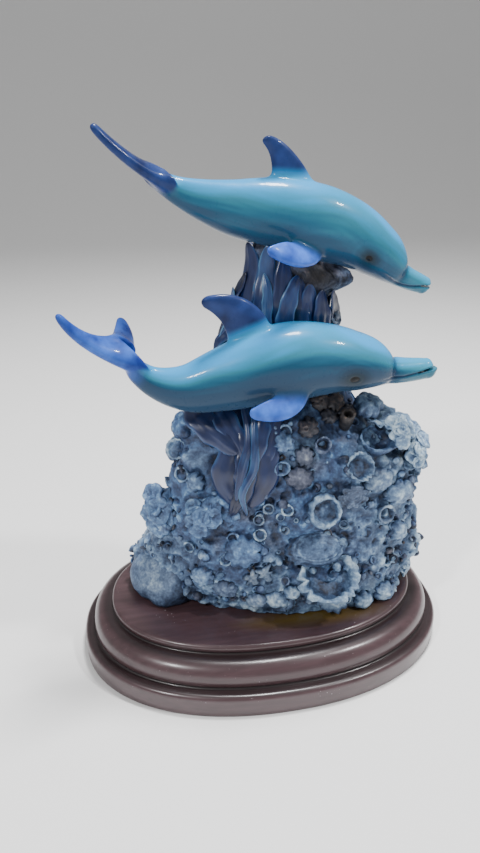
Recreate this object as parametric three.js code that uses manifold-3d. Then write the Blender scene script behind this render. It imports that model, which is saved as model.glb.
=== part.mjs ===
// A resin ornament of two dolphins that swim past a coral reef, on an oval stepped plinth.
// Millimetres. The origin is the centre of the plinth's underside, +X runs along the plinth
// towards the dolphins' heads, +Y towards the back and +Z up.

import * as THREE from 'three';
import { mergeVertices } from 'three/addons/utils/BufferGeometryUtils.js';
import Module from 'manifold-3d';

const wasm = await Module();
wasm.setup();

// Plinth: an oval slab, a bulging cushion moulding on it and a low step on top.
const plinthLength = 180;
const plinthWidth = 124;
const ovalPower = 2.2;
const ovalSides = 40;
const footChamfer = 0.6;
const slabHeight = 10.6;
const slabRound = 2.4;
const ledgeWidth = 2.6;
const cushionSide = 3.5;
const cushionHeight = 11;
const cushionRound = 7;
const cushionShelf = 2.4;
const stepHeight = 4.2;
const stepRound = 1.7;

// Reef: its footprint and its height above the plinth.
const reefLength = 136;
const reefWidth = 66;
const reefHeight = 166;

// Dolphins: the length of the body from the root of the flukes to the tip of the beak.
const upperLength = 128;
const lowerLength = 128;
const lowerGirth = 1.15;

// Fits: the clear gap between pieces, and how deep a dolphin sinks into its seat in the reef.
const seatGap = 0.3;
const seatDepth = 3;

const plinthTop = slabHeight + cushionHeight + stepHeight;
const reefBase = plinthTop + seatGap;

// A closed skin over a row of rings. Each ring runs anticlockwise as seen from ahead.
function skin(rings) {
  const count = rings[0].length;
  const points = rings.flat();
  const faces = [];
  for (let i = 0; i + 1 < rings.length; i += 1) {
    for (let j = 0; j < count; j += 1) {
      const next = (j + 1) % count;
      const a = i * count + j;
      const b = i * count + next;
      faces.push(a, b, b + count, a, b + count, a + count);
    }
  }
  const last = (rings.length - 1) * count;
  const centreOf = (ring) => ring.reduce((sum, p) => sum.add(p), new THREE.Vector3()).divideScalar(count);
  points.push(centreOf(rings[0]), centreOf(rings[rings.length - 1]));
  for (let j = 0; j < count; j += 1) {
    const next = (j + 1) % count;
    faces.push(points.length - 2, next, j);
    faces.push(points.length - 1, last + j, last + next);
  }
  const geometry = new THREE.BufferGeometry().setFromPoints(points);
  geometry.setIndex(faces);
  return geometry;
}

// A closed geometry as a solid that can be joined and cut.
function solid(geometry) {
  const bare = geometry.clone();
  bare.deleteAttribute('normal');
  bare.deleteAttribute('uv');
  const merged = mergeVertices(bare, 1e-4);
  const mesh = new wasm.Mesh({
    numProp: 3,
    vertProperties: new Float32Array(merged.attributes.position.array),
    triVerts: new Uint32Array(merged.index.array),
  });
  return new wasm.Manifold(mesh);
}

// A solid as a mesh geometry.
function geometryOf(body) {
  const mesh = body.getMesh();
  const geometry = new THREE.BufferGeometry();
  geometry.setAttribute('position', new THREE.BufferAttribute(mesh.vertProperties, 3));
  geometry.setIndex(new THREE.BufferAttribute(mesh.triVerts, 1));
  const flat = geometry.toNonIndexed();
  flat.computeVertexNormals();
  return flat;
}

const joined = (solids) => solids.reduce((sum, next) => sum.add(next));

// Plinth

// A point on the oval that lies inset from the plinth's outer edge.
function ovalPoint(angle, inset, z) {
  const power = 2 / ovalPower;
  const [c, s] = [Math.cos(angle), Math.sin(angle)];
  return new THREE.Vector3(
    (plinthLength / 2 - inset) * Math.sign(c) * Math.abs(c) ** power,
    (plinthWidth / 2 - inset) * Math.sign(s) * Math.abs(s) ** power,
    z,
  );
}

// A quarter round that rises from a side and turns inwards, as rows of inset and height.
function quarterRound(inset, z, run, rise, steps) {
  return Array.from({ length: steps + 1 }, (_, i) => {
    const turn = (i / steps) * Math.PI / 2;
    return [inset + run * (1 - Math.cos(turn)), z + rise * Math.sin(turn)];
  });
}

function makePlinth() {
  const cushionInset = slabRound + ledgeWidth;
  const stepInset = cushionInset + cushionRound + cushionShelf;
  const cushionTop = slabHeight + cushionHeight;
  const profile = [
    [footChamfer, 0],
    [0, footChamfer],
    ...quarterRound(0, slabHeight - slabRound, slabRound, slabRound, 3),
    [cushionInset, slabHeight],
    ...quarterRound(cushionInset, slabHeight + cushionSide, cushionRound, cushionHeight - cushionSide, 5),
    [stepInset, cushionTop],
    ...quarterRound(stepInset, plinthTop - stepRound, stepRound, stepRound, 3),
  ];
  const rings = profile.map(([inset, z]) => (
    Array.from({ length: ovalSides }, (_, i) => ovalPoint(i / ovalSides * 2 * Math.PI, inset, z))
  ));
  return solid(skin(rings));
}

// Dolphins

// Half depth above and below the spine and half width, as shares of the body length.
// The trunk runs from the root of the flukes to the crease in front of the melon.
const trunkShape = [
  [0, 0.012, 0.013, 0.009],
  [0.035, 0.029, 0.032, 0.021],
  [0.09, 0.039, 0.042, 0.027],
  [0.19, 0.06, 0.062, 0.045],
  [0.3, 0.083, 0.084, 0.066],
  [0.41, 0.1, 0.1, 0.084],
  [0.52, 0.11, 0.111, 0.096],
  [0.63, 0.115, 0.116, 0.103],
  [0.74, 0.106, 0.106, 0.1],
  [0.84, 0.092, 0.091, 0.091],
  [0.91, 0.08, 0.078, 0.08],
  [0.955, 0.068, 0.066, 0.069],
  [0.985, 0.055, 0.058, 0.056],
  [1, 0.044, 0.053, 0.047],
];
const beakShape = [
  [0.25, 0.037, 0.047, 0.038],
  [0.7, 0.031, 0.036, 0.03],
  [0.92, 0.023, 0.026, 0.023],
  [1, 0.01, 0.012, 0.012],
];
const bodySides = 16;

// The pose: the spine's points, the fins and the mouth are shares of the body length, counted
// from the middle of the trunk. A blade has a leading and a trailing edge, each a curve
// through a root, a control and a tip point. Blades that are given once lie in the middle
// plane or on one side, and flippers are mirrored where a far one shows. The crown is the
// height of the back over the spine, as a share of the trunk's table.
const upperPose = {
  beakShare: 0.125,
  spine: [
    [-0.445, 0.04, 0.118], [-0.36, 0.03, 0.07], [-0.207, 0.01, 0.022], [-0.016, 0, -0.006],
    [0.181, 0, -0.066], [0.28, 0, -0.125], [0.368, 0, -0.196], [0.476, 0, -0.252],
  ],
  dorsal: {
    lead: [[0.075, 0, 0.065], [-0.02, 0, 0.216], [-0.094, 0, 0.224]],
    trail: [[-0.105, 0, 0.065], [-0.05, 0, 0.15], [-0.113, 0, 0.208]],
    thick: 0.04,
  },
  flipper: {
    lead: [[0.087, -0.05, -0.125], [-0.003, -0.18, -0.172], [-0.123, -0.16, -0.102]],
    trail: [[-0.018, -0.06, -0.08], [-0.078, -0.15, -0.06], [-0.126, -0.16, -0.08]],
    thick: 0.034,
  },
  mirrorFlipper: true,
  flukes: [
    {
      lead: [[-0.37, 0.005, 0.065], [-0.51, -0.06, 0.138], [-0.618, -0.035, 0.246]],
      trail: [[-0.46, 0.04, 0.15], [-0.53, 0.02, 0.18], [-0.592, -0.025, 0.264]],
      thick: 0.044,
    },
    {
      lead: [[-0.4, 0.06, 0.09], [-0.435, 0.15, 0.1], [-0.515, 0.19, 0.155]],
      trail: [[-0.47, 0.04, 0.135], [-0.495, 0.1, 0.145], [-0.535, 0.175, 0.17]],
      thick: 0.04,
    },
  ],
  mouth: { corner: [0.96, -0.01], tip: -0.008, gap: 0.016 },
  jawDrop: 0.003,
  crown: 1,
};
const lowerPose = {
  beakShare: 0.16,
  spine: [
    [-0.54, 0.025, 0.02], [-0.46, 0.01, -0.045], [-0.36, 0, -0.07], [-0.23, 0, -0.048],
    [-0.08, 0, -0.008], [0.1, 0, -0.002], [0.22, 0, -0.022], [0.33, 0, -0.052], [0.487, 0, -0.062],
  ],
  dorsal: {
    lead: [[-0.065, 0, 0.075], [-0.135, 0, 0.25], [-0.3, 0, 0.211]],
    trail: [[-0.23, 0, 0.03], [-0.205, 0, 0.135], [-0.304, 0, 0.184]],
    thick: 0.046,
  },
  flipper: {
    lead: [[0.038, -0.07, -0.072], [-0.025, -0.17, -0.184], [-0.177, -0.13, -0.138]],
    trail: [[-0.065, -0.07, -0.076], [-0.14, -0.15, -0.083], [-0.181, -0.13, -0.112]],
    thick: 0.038,
  },
  mirrorFlipper: false,
  flukes: [
    {
      lead: [[-0.47, 0, -0.035], [-0.7, -0.05, 0.08], [-0.735, -0.035, 0.188]],
      trail: [[-0.575, 0.05, 0.1], [-0.65, -0.01, 0.105], [-0.712, -0.03, 0.198]],
      thick: 0.046,
    },
    {
      lead: [[-0.52, 0.05, 0.015], [-0.493, 0.16, 0.055], [-0.536, 0.21, 0.11]],
      trail: [[-0.58, 0.05, 0.1], [-0.576, 0.13, 0.078], [-0.562, 0.2, 0.122]],
      thick: 0.044,
    },
  ],
  mouth: { corner: [0.9, -0.036], tip: -0.012, gap: 0.026 },
  jawDrop: 0.016,
  crown: 0.93,
};

// A blade that tapers from its root to a rounded tip: lens-shaped sections between two edges.
function makeBlade(place, size, { lead, trail, thick }, grow) {
  const stations = 6;
  const sides = 8;
  const toPoint = (p) => new THREE.Vector3(...p).multiplyScalar(size).add(place);
  const leadCurve = new THREE.QuadraticBezierCurve3(...lead.map(toPoint));
  const trailCurve = new THREE.QuadraticBezierCurve3(...trail.map(toPoint));
  const rings = [];
  for (let i = 0; i <= stations; i += 1) {
    const u = i / stations;
    const front = leadCurve.getPoint(u);
    const back = trailCurve.getPoint(u);
    const middle = front.clone().add(back).multiplyScalar(0.5);
    const chord = front.clone().sub(back).multiplyScalar(0.5);
    const along = leadCurve.getTangent(u).add(trailCurve.getTangent(u)).normalize();
    const normal = new THREE.Vector3().crossVectors(along, chord).normalize();
    const roundness = Math.sqrt(1 - 0.85 * u ** 6);
    const halfChord = chord.length() * roundness + grow;
    const halfThick = size * thick * (1 - 0.6 * u) * roundness / 2 + grow;
    const across = chord.clone().normalize();
    middle.addScaledVector(along, grow * u);
    rings.push(Array.from({ length: sides }, (_, j) => {
      const angle = (j / sides) * 2 * Math.PI;
      return middle.clone()
        .addScaledVector(across, halfChord * Math.cos(angle))
        .addScaledVector(normal, halfThick * Math.sin(angle));
    }));
  }
  return solid(skin(rings));
}

// The body: ellipse sections, flatter or deeper above and below the spine.
function makeTrunk(place, size, girth, pose, grow) {
  const curve = new THREE.CatmullRomCurve3(
    pose.spine.map((p) => new THREE.Vector3(...p).multiplyScalar(size).add(place)),
  );
  const up = new THREE.Vector3(0, 0, 1);
  const crease = 1 - pose.beakShare;
  const places = [
    ...trunkShape.map(([t, above, below, wide]) => [t * crease, above * pose.crown, below, wide]),
    ...beakShape.map(([t, above, below, wide]) => (
      [crease + t * pose.beakShare, above, below + pose.jawDrop, wide]
    )),
  ];
  const rings = places.map(([t, above, below, wide]) => {
    const centre = curve.getPointAt(t);
    const forward = curve.getTangentAt(t);
    const side = new THREE.Vector3().crossVectors(up, forward).normalize();
    const top = new THREE.Vector3().crossVectors(forward, side);
    const reach = t === 0 ? -grow : grow * t;
    centre.addScaledVector(forward, reach);
    return Array.from({ length: bodySides }, (_, j) => {
      const angle = (j / bodySides) * 2 * Math.PI;
      const rise = Math.sin(angle) * ((Math.sin(angle) > 0 ? above : below) * girth * size + grow);
      const spread = Math.cos(angle) * (wide * girth * size + grow);
      return centre.clone().addScaledVector(side, spread).addScaledVector(top, rise);
    });
  });
  return { body: solid(skin(rings)), curve };
}

// The open mouth is a wedge cut into the beak from its tip to the mouth's corner.
function mouthCut(size, girth, pose, curve) {
  const { corner, tip, gap } = pose.mouth;
  const level = (t, share) => curve.getPointAt(t).add(new THREE.Vector3(0, 0, share * size));
  const hinge = level(corner[0], corner[1]);
  const end = level(1, tip);
  const run = end.clone().sub(hinge);
  const reach = run.length() * 1.2;
  const rise = gap * size * 0.6;
  const wedge = new THREE.Shape([
    new THREE.Vector2(0, 0),
    new THREE.Vector2(reach, -rise),
    new THREE.Vector2(reach, rise),
  ]);
  const width = size * girth * 0.14;
  const geometry = new THREE.ExtrudeGeometry(wedge, { depth: width, bevelEnabled: false });
  geometry.translate(0, 0, -width / 2);
  geometry.rotateX(Math.PI / 2);
  geometry.rotateY(Math.atan2(-run.z, run.x));
  geometry.translate(hinge.x, hinge.y, hinge.z);
  return solid(geometry);
}

const mirrored = (blade) => ({
  lead: blade.lead.map(([x, y, z]) => [x, -y, z]),
  trail: blade.trail.map(([x, y, z]) => [x, -y, z]),
  thick: blade.thick,
});

// A whole dolphin. A grown one, larger by the gap all over, cuts its seat in the reef.
function makeDolphin(place, size, girth, pose, grow) {
  const { body, curve } = makeTrunk(place, size, girth, pose, grow);
  const blades = [pose.dorsal, pose.flipper, ...pose.flukes];
  if (pose.mirrorFlipper) {
    blades.push(mirrored(pose.flipper));
  }
  const whole = joined([body, ...blades.map((blade) => makeBlade(place, size, blade, grow))]);
  return grow > 0 ? whole : whole.subtract(mouthCut(size, girth, pose, curve));
}

// Reef

// Outline of the rock at each height: the left, right, front and back reach and how far the
// left end lies back, as shares of the reef's length and width.
const rockShape = [
  [0, -0.46, 0.51, -0.43, 0.5, 0.2],
  [0.06, -0.465, 0.52, -0.445, 0.51, 0.19],
  [0.13, -0.44, 0.535, -0.44, 0.48, 0.15],
  [0.19, -0.38, 0.535, -0.42, 0.45, 0.11],
  [0.27, -0.35, 0.535, -0.39, 0.41, 0.07],
  [0.35, -0.325, 0.545, -0.37, 0.36, 0.04],
  [0.42, -0.3, 0.53, -0.33, 0.33, 0.02],
  [0.48, -0.285, 0.43, -0.3, 0.3, 0],
  [0.54, -0.26, 0.36, -0.24, 0.27, 0],
  [0.6, -0.19, 0.3, -0.13, 0.24, 0],
  [0.69, -0.155, 0.245, -0.09, 0.21, 0],
  [0.78, -0.145, 0.24, -0.08, 0.2, 0],
  [0.87, -0.105, 0.255, -0.09, 0.18, 0],
  [0.94, -0.055, 0.25, -0.08, 0.16, 0],
  [1, -0.04, 0.225, -0.06, 0.13, 0],
];
const rockSides = 32;
const rockRoughness = 0.07;

// Uneven swell of the rock round its outline, between -1 and 1.
function swell(angle, height) {
  return 0.5 * Math.sin(3 * angle + 9 * height)
    + 0.3 * Math.sin(7 * angle - 23 * height)
    + 0.2 * Math.sin(11 * angle + 41 * height);
}

// A place in the reef, from shares of its length, width and height.
const reefPoint = (x, y, z) => new THREE.Vector3(x * reefLength, y * reefWidth, reefBase + z * reefHeight);

function makeRock() {
  const rings = rockShape.map(([height, left, right, front, back, skew]) => {
    const [middleX, halfX] = [(left + right) / 2, (right - left) / 2];
    const [middleY, halfY] = [(front + back) / 2, (back - front) / 2];
    return Array.from({ length: rockSides }, (_, j) => {
      const angle = (j / rockSides) * 2 * Math.PI;
      const reach = 1 + rockRoughness * swell(angle, height);
      const x = middleX + halfX * Math.cos(angle) * reach;
      const y = middleY + halfY * Math.sin(angle) * reach - skew * Math.cos(angle);
      return reefPoint(x, y, height);
    });
  });
  return solid(skin(rings));
}

// A rounded knob of coral.
function makeKnob([x, y, z, size, flat = 1]) {
  const knob = new THREE.IcosahedronGeometry(size * reefLength, 1);
  knob.scale(1, 1, flat);
  const place = reefPoint(x, y, z);
  knob.translate(place.x, place.y, place.z);
  return solid(knob);
}

// A cup coral with a thick rim and a hollow middle, its mouth turned to face a direction.
function makeCup([x, y, z, size, deep, facing]) {
  const radius = size * reefLength;
  const depth = deep * reefLength;
  const profile = [
    [0, -depth], [0.6, -depth], [1, 0], [0.85, 0.12 * radius], [0.6, 0], [0, -0.35 * depth],
  ].map(([r, h]) => new THREE.Vector2(r * radius, h));
  const cup = new THREE.LatheGeometry(profile, 10);
  const axis = new THREE.Vector3(...facing).normalize();
  cup.applyQuaternion(new THREE.Quaternion().setFromUnitVectors(new THREE.Vector3(0, 1, 0), axis));
  const place = reefPoint(x, y, z);
  cup.translate(place.x, place.y, place.z);
  return solid(cup);
}

// A frond of kelp: a flat ribbon that follows a curve, widest in its middle and thin at its tip.
function makeFrond({ path, wide, facing }) {
  const stations = 8;
  const sides = 6;
  const curve = new THREE.CatmullRomCurve3(path.map((p) => reefPoint(...p)));
  const rings = [];
  for (let i = 0; i <= stations; i += 1) {
    const u = i / stations;
    const centre = curve.getPointAt(u);
    const along = curve.getTangentAt(u);
    const normal = new THREE.Vector3(...facing).normalize();
    const across = new THREE.Vector3().crossVectors(normal, along).normalize();
    const lift = new THREE.Vector3().crossVectors(along, across);
    const taper = Math.sin(Math.PI * (0.18 + 0.76 * u)) ** 0.8;
    const halfWide = wide * reefLength / 2 * taper;
    const halfThick = halfWide * 0.35;
    rings.push(Array.from({ length: sides }, (_, j) => {
      const angle = (j / sides) * 2 * Math.PI;
      return centre.clone()
        .addScaledVector(across, halfWide * Math.cos(angle))
        .addScaledVector(lift, halfThick * Math.sin(angle));
    }));
  }
  return solid(skin(rings));
}

// Corals and kelp, placed as shares of the reef.
const knobs = [
  [-0.385, -0.02, 0.3, 0.056], [-0.33, -0.05, 0.34, 0.04], [-0.36, -0.03, 0.245, 0.05],
  [-0.285, 0, 0.46, 0.046], [-0.265, -0.02, 0.53, 0.045], [-0.36, 0.02, 0.13, 0.1, 0.9],
  [-0.1, -0.34, 0.2, 0.06], [0.14, -0.39, 0.2, 0.1, 0.8], [0.515, -0.18, 0.22, 0.034],
  [0.535, -0.16, 0.13, 0.036], [0.53, -0.2, 0.06, 0.04], [0.4, -0.29, 0.12, 0.05],
  [0.33, -0.16, 0.57, 0.05], [0.405, -0.18, 0.5, 0.052], [0.225, 0, 0.8, 0.045],
  [0.225, -0.05, 0.9, 0.05, 0.8], [0.27, 0, 0.895, 0.04, 0.8], [0.02, -0.43, 0.05, 0.045],
  [0.28, -0.4, 0.06, 0.05], [-0.2, -0.24, 0.1, 0.06],
];
const cups = [
  [0.155, -0.45, 0.33, 0.056, 0.06, [0.1, -1, 0.35]],
  [0.27, -0.4, 0.44, 0.045, 0.05, [0.1, -1, 0.5]],
  [0.38, -0.2, 0.47, 0.06, 0.06, [0.1, -0.5, 1]],
  [0.545, -0.08, 0.41, 0.07, 0.06, [0.3, -0.4, 1]],
  [-0.24, -0.33, 0.32, 0.05, 0.06, [-0.3, -1, 0.5]],
  [0.17, -0.48, 0.11, 0.075, 0.06, [0.1, -0.8, 0.8]],
  [0.24, -0.25, 0.55, 0.035, 0.08, [0, -0.8, 0.9]],
];
const fronds = [
  {
    path: [[-0.06, -0.35, 0.28], [0, -0.33, 0.42], [-0.08, -0.26, 0.55], [-0.1, -0.1, 0.72]],
    wide: 0.1,
    facing: [0, -1, 0.2],
  },
  {
    path: [[-0.1, -0.32, 0.3], [-0.16, -0.25, 0.42], [-0.2, -0.13, 0.56]],
    wide: 0.1,
    facing: [-0.2, -1, 0.2],
  },
  {
    path: [[0.03, -0.37, 0.26], [0.055, -0.34, 0.4], [0.075, -0.26, 0.52]],
    wide: 0.08,
    facing: [0.2, -1, 0.2],
  },
  {
    path: [[-0.1, 0.02, 0.56], [-0.15, 0, 0.7], [-0.1, -0.02, 0.8], [-0.12, -0.02, 0.9]],
    wide: 0.075,
    facing: [-0.6, -1, 0],
  },
  {
    path: [[-0.02, -0.08, 0.6], [0.02, -0.1, 0.74], [-0.03, -0.1, 0.88], [0, -0.08, 0.99]],
    wide: 0.075,
    facing: [0, -1, 0],
  },
  {
    path: [[0.08, -0.08, 0.6], [0.04, -0.12, 0.72], [0.1, -0.12, 0.86], [0.07, -0.1, 0.97]],
    wide: 0.07,
    facing: [0.1, -1, 0],
  },
  {
    path: [[0.16, -0.06, 0.6], [0.17, -0.1, 0.74], [0.12, -0.1, 0.84], [0.17, -0.08, 0.94]],
    wide: 0.07,
    facing: [0.2, -1, 0],
  },
  {
    path: [[-0.02, 0.22, 0.52], [0.02, 0.24, 0.7], [0, 0.16, 0.92]],
    wide: 0.09,
    facing: [0, 1, 0],
  },
  {
    path: [[0.14, 0.24, 0.5], [0.1, 0.24, 0.68], [0.15, 0.18, 0.88]],
    wide: 0.09,
    facing: [0.1, 1, 0],
  },
];

function makeReef(seats) {
  const whole = joined([
    makeRock(), ...knobs.map(makeKnob), ...cups.map(makeCup), ...fronds.map(makeFrond),
  ]);
  return seats.reduce((reef, seat) => reef.subtract(seat), whole);
}

// The upper dolphin's belly lies on top of the reef, and the lower one's far flank leans on
// the front of the kelp: each is placed by where it sinks into the reef.
const bellyShare = 0.106;
const flankShare = 0.1;
const upperPlace = reefPoint(0.088, 0, 1);
upperPlace.z += bellyShare * upperLength - seatDepth;
const lowerPlace = reefPoint(0.07, -0.09, 0.73);
lowerPlace.y += seatDepth - flankShare * lowerGirth * lowerLength;

const makeUpper = (grow) => makeDolphin(upperPlace, upperLength, 1, upperPose, grow);
const makeLower = (grow) => makeDolphin(lowerPlace, lowerLength, lowerGirth, lowerPose, grow);

function named(name, body, colour, roughness) {
  const material = new THREE.MeshStandardMaterial({ color: colour, roughness, metalness: 0 });
  const mesh = new THREE.Mesh(geometryOf(body), material);
  mesh.name = name;
  return mesh;
}

const ornament = new THREE.Group();
ornament.add(named('plinth', makePlinth(), 0x46343a, 0.35));
ornament.add(named('reef', makeReef([makeUpper(seatGap), makeLower(seatGap)]), 0x5f86a6, 0.8));
ornament.add(named('lower_dolphin', makeLower(0), 0x2d7f9e, 0.2));
ornament.add(named('upper_dolphin', makeUpper(0), 0x3586b4, 0.2));

export default ornament;
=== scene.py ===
# Two painted resin dolphins over a coral reef, on an oval lacquered plinth.
# Lengths are millimetres until a mesh is made, and shares are of a piece's own length.
import bpy
import numpy as np
from mathutils import Matrix, Vector


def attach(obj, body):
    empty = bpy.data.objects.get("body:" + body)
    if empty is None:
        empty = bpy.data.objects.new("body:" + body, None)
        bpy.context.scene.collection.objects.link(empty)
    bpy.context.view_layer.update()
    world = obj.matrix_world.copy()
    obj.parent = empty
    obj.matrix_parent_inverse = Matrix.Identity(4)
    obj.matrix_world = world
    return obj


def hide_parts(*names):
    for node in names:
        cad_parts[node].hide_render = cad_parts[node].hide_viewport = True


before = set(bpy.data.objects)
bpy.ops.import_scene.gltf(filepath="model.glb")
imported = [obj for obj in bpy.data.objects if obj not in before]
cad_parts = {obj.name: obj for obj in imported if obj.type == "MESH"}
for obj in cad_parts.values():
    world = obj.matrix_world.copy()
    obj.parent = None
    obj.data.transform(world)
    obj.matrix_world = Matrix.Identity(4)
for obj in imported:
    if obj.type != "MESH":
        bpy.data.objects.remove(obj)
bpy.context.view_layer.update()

mm = 0.001

# Camera

camera = {
    "place": (-55.96, -254.56, 224.07),
    "yaw": 10.0,  # degrees towards +X
    "down": 23.6,
    "roll": -0.33,
    "focus": 620.0,  # focal length in the photo's pixels
    "photo": (480, 853),
}


def cameraAxes():
    # forward = (sin y cos d, cos y cos d, -sin d), right is level, then both turn by the roll
    yaw, down, roll = np.radians([camera["yaw"], camera["down"], camera["roll"]])
    forward = np.array([np.sin(yaw) * np.cos(down), np.cos(yaw) * np.cos(down), -np.sin(down)])
    level = np.array([np.cos(yaw), -np.sin(yaw), 0.0])
    rise = np.cross(level, forward)
    right = np.cos(roll) * level + np.sin(roll) * rise
    return right, np.cross(right, forward), forward


def toPixels(points):
    # pinhole: x = cx + f X / Z, y = cy - f Y / Z, with Z the depth along the view
    right, rise, forward = cameraAxes()
    offset = points - np.array(camera["place"])
    depth = offset @ forward
    width, height = camera["photo"]
    x = width / 2 + camera["focus"] * (offset @ right) / depth
    y = height / 2 - camera["focus"] * (offset @ rise) / depth
    return x, y, depth


def addCamera():
    # the camera fitted to the photo
    right, rise, forward = cameraAxes()
    data = bpy.data.cameras.new("photoCamera")
    data.sensor_fit = "AUTO"
    data.sensor_width = 36.0
    data.lens = 36.0 * camera["focus"] / camera["photo"][1]
    data.clip_start = 0.01
    item = bpy.data.objects.new("photoCamera", data)
    turn = Matrix((right, rise, -forward)).transposed().to_4x4()
    item.matrix_world = Matrix.Translation(Vector(camera["place"]) * mm) @ turn
    bpy.context.collection.objects.link(item)
    bpy.context.scene.camera = item


addCamera()
print("camera ready")

# Number helpers

rng = np.random.default_rng(7)
lattice = rng.random((32, 32, 32))


def smoothStep(low, high, value):
    # 3x^2 - 2x^3 between the two edges
    x = np.clip((value - low) / (high - low), 0, 1)
    return x * x * (3 - 2 * x)


def softNoise(points, grain, shift=0.0):
    # random values on a cubic lattice of the grain's size, blended by 3x^2 - 2x^3: -1 to 1
    place = points / grain + shift
    cell = np.floor(place).astype(int)
    part = place - cell
    part = part * part * (3 - 2 * part)
    total = np.zeros(len(points))
    for corner in range(8):
        step = np.array([corner & 1, corner >> 1 & 1, corner >> 2 & 1])
        at = (cell + step) % 32
        weight = np.prod(np.where(step, part, 1 - part), axis=1)
        total += weight * lattice[at[:, 0], at[:, 1], at[:, 2]]
    return total * 2 - 1


def layeredNoise(points, grain, layers, shift=0.0):
    # each layer has half the grain and half the height of the one before
    total = np.zeros(len(points))
    for layer in range(layers):
        total += softNoise(points, grain / 2 ** layer, shift + 5.3 * layer) / 2 ** layer
    return total / 1.6


def cubic(u, start, end, leaving, arriving):
    # Hermite curve from start to end, with its slopes at the two ends
    return ((2 * u ** 3 - 3 * u ** 2 + 1) * start + (u ** 3 - 2 * u ** 2 + u) * leaving
            + (3 * u ** 2 - 2 * u ** 3) * end + (u ** 3 - u ** 2) * arriving)


def smoothRead(rows, place):
    # a smooth curve through the rows of a table whose first column is the place
    rows = np.array(rows, float)
    knots, values = rows[:, 0], rows[:, 1:]
    slopes = np.gradient(values, knots, axis=0)
    i = np.clip(np.searchsorted(knots, place) - 1, 0, len(knots) - 2)
    gap = (knots[i + 1] - knots[i])[..., None]
    u = (place - knots[i])[..., None] / gap
    return cubic(u, values[i], values[i + 1], gap * slopes[i], gap * slopes[i + 1])


def followCurve(knots, count):
    # centripetal Catmull-Rom curve through the knots, read at even steps of its length
    knots = np.array(knots, float)
    ends = np.vstack([2 * knots[0] - knots[1], knots, 2 * knots[-1] - knots[-2]])
    gap = np.sqrt(np.linalg.norm(np.diff(ends, axis=0), axis=1))
    p0, p1, p2, p3 = ends[:-3], ends[1:-2], ends[2:-1], ends[3:]
    g0, g1, g2 = gap[:-2, None], gap[1:-1, None], gap[2:, None]
    m1 = ((p1 - p0) / g0 - (p2 - p0) / (g0 + g1)) * g1 + (p2 - p1)
    m2 = (p2 - p1) + ((p3 - p2) / g2 - (p3 - p1) / (g1 + g2)) * g1
    u = np.linspace(0, 1, 60, endpoint=False)[:, None, None]
    dense = np.vstack([cubic(u, p1, p2, m1, m2).transpose(1, 0, 2).reshape(-1, 3), knots[-1:]])
    length = np.r_[0, np.cumsum(np.linalg.norm(np.diff(dense, axis=0), axis=1))]
    even = np.linspace(0, length[-1], count)
    return np.stack([np.interp(even, length, dense[:, k]) for k in range(3)], axis=1)


def unit(vectors):
    # each vector over its own length
    return vectors / (np.linalg.norm(vectors, axis=-1, keepdims=True) + 1e-12)


def nearestOf(points, spots):
    # number of the spot nearest to each point and its distance, in blocks to spare memory
    which, gap = np.empty(len(points), int), np.empty(len(points))
    for start in range(0, len(points), 10000):
        block = slice(start, start + 10000)
        part = points[block]
        square = (part ** 2).sum(1)[:, None] - 2 * part @ spots.T + (spots ** 2).sum(1)
        which[block] = square.argmin(1)
        gap[block] = np.sqrt(np.maximum(square.min(1), 0))
    return which, gap


# Mesh helpers


def skinOf(rings):
    # a closed skin over rings of points, each ring anticlockwise as seen from ahead
    rows, cols = rings.shape[:2]
    points = np.vstack([rings.reshape(-1, 3), rings[0].mean(0), rings[-1].mean(0)])
    i, j = np.meshgrid(np.arange(rows - 1), np.arange(cols), indexing="ij")
    after = (j + 1) % cols
    quads = np.stack([i * cols + j, i * cols + after,
                      (i + 1) * cols + after, (i + 1) * cols + j], -1)
    j = np.arange(cols)
    after = (j + 1) % cols
    start = np.stack([np.full(cols, rows * cols), after, j], -1)
    last = (rows - 1) * cols
    end = np.stack([np.full(cols, rows * cols + 1), last + j, last + after], -1)
    return points, quads.reshape(-1, 4), np.vstack([start, end])


def joinSkins(skins):
    # many skins as one mesh, each one's faces counted on from the points before it
    points, quads, tris, count = [], [], [], 0
    for p, q, t in skins:
        points.append(p)
        quads.append(q + count)
        tris.append(t + count)
        count += len(p)
    return np.vstack(points), np.vstack(quads), np.vstack(tris)


def newObject(name, skin):
    # an object from the points in millimetres and the faces of a skin
    points, quads, tris = skin
    mesh = bpy.data.meshes.new(name)
    mesh.from_pydata((points * mm).tolist(), [], quads.tolist() + tris.tolist())
    mesh.update()
    item = bpy.data.objects.new(name, mesh)
    bpy.context.collection.objects.link(item)
    return item


def bakeModifiers(item):
    # the evaluated mesh takes the place of the object's own, and no modifier is left
    graph = bpy.context.evaluated_depsgraph_get()
    mesh = bpy.data.meshes.new_from_object(item.evaluated_get(graph))
    item.modifiers.clear()
    item.data = mesh


def readPoints(mesh):
    # its points in millimetres
    flat = np.empty(len(mesh.vertices) * 3, np.float32)
    mesh.vertices.foreach_get("co", flat)
    return flat.reshape(-1, 3).astype(float) / mm


def writePoints(mesh, points):
    # puts points in millimetres back
    mesh.vertices.foreach_set("co", (points * mm).astype(np.float32).ravel())
    mesh.update()


def readNormals(mesh):
    # the outward direction at each point
    flat = np.empty(len(mesh.vertices) * 3, np.float32)
    mesh.vertices.foreach_get("normal", flat)
    return flat.reshape(-1, 3).astype(float)


def paintValues(mesh, **layers):
    # one number for each point under each name, for the materials to read
    for name, values in layers.items():
        layer = mesh.attributes.new(name, "FLOAT", "POINT")
        layer.data.foreach_set("value", np.asarray(values, np.float32))


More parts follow.
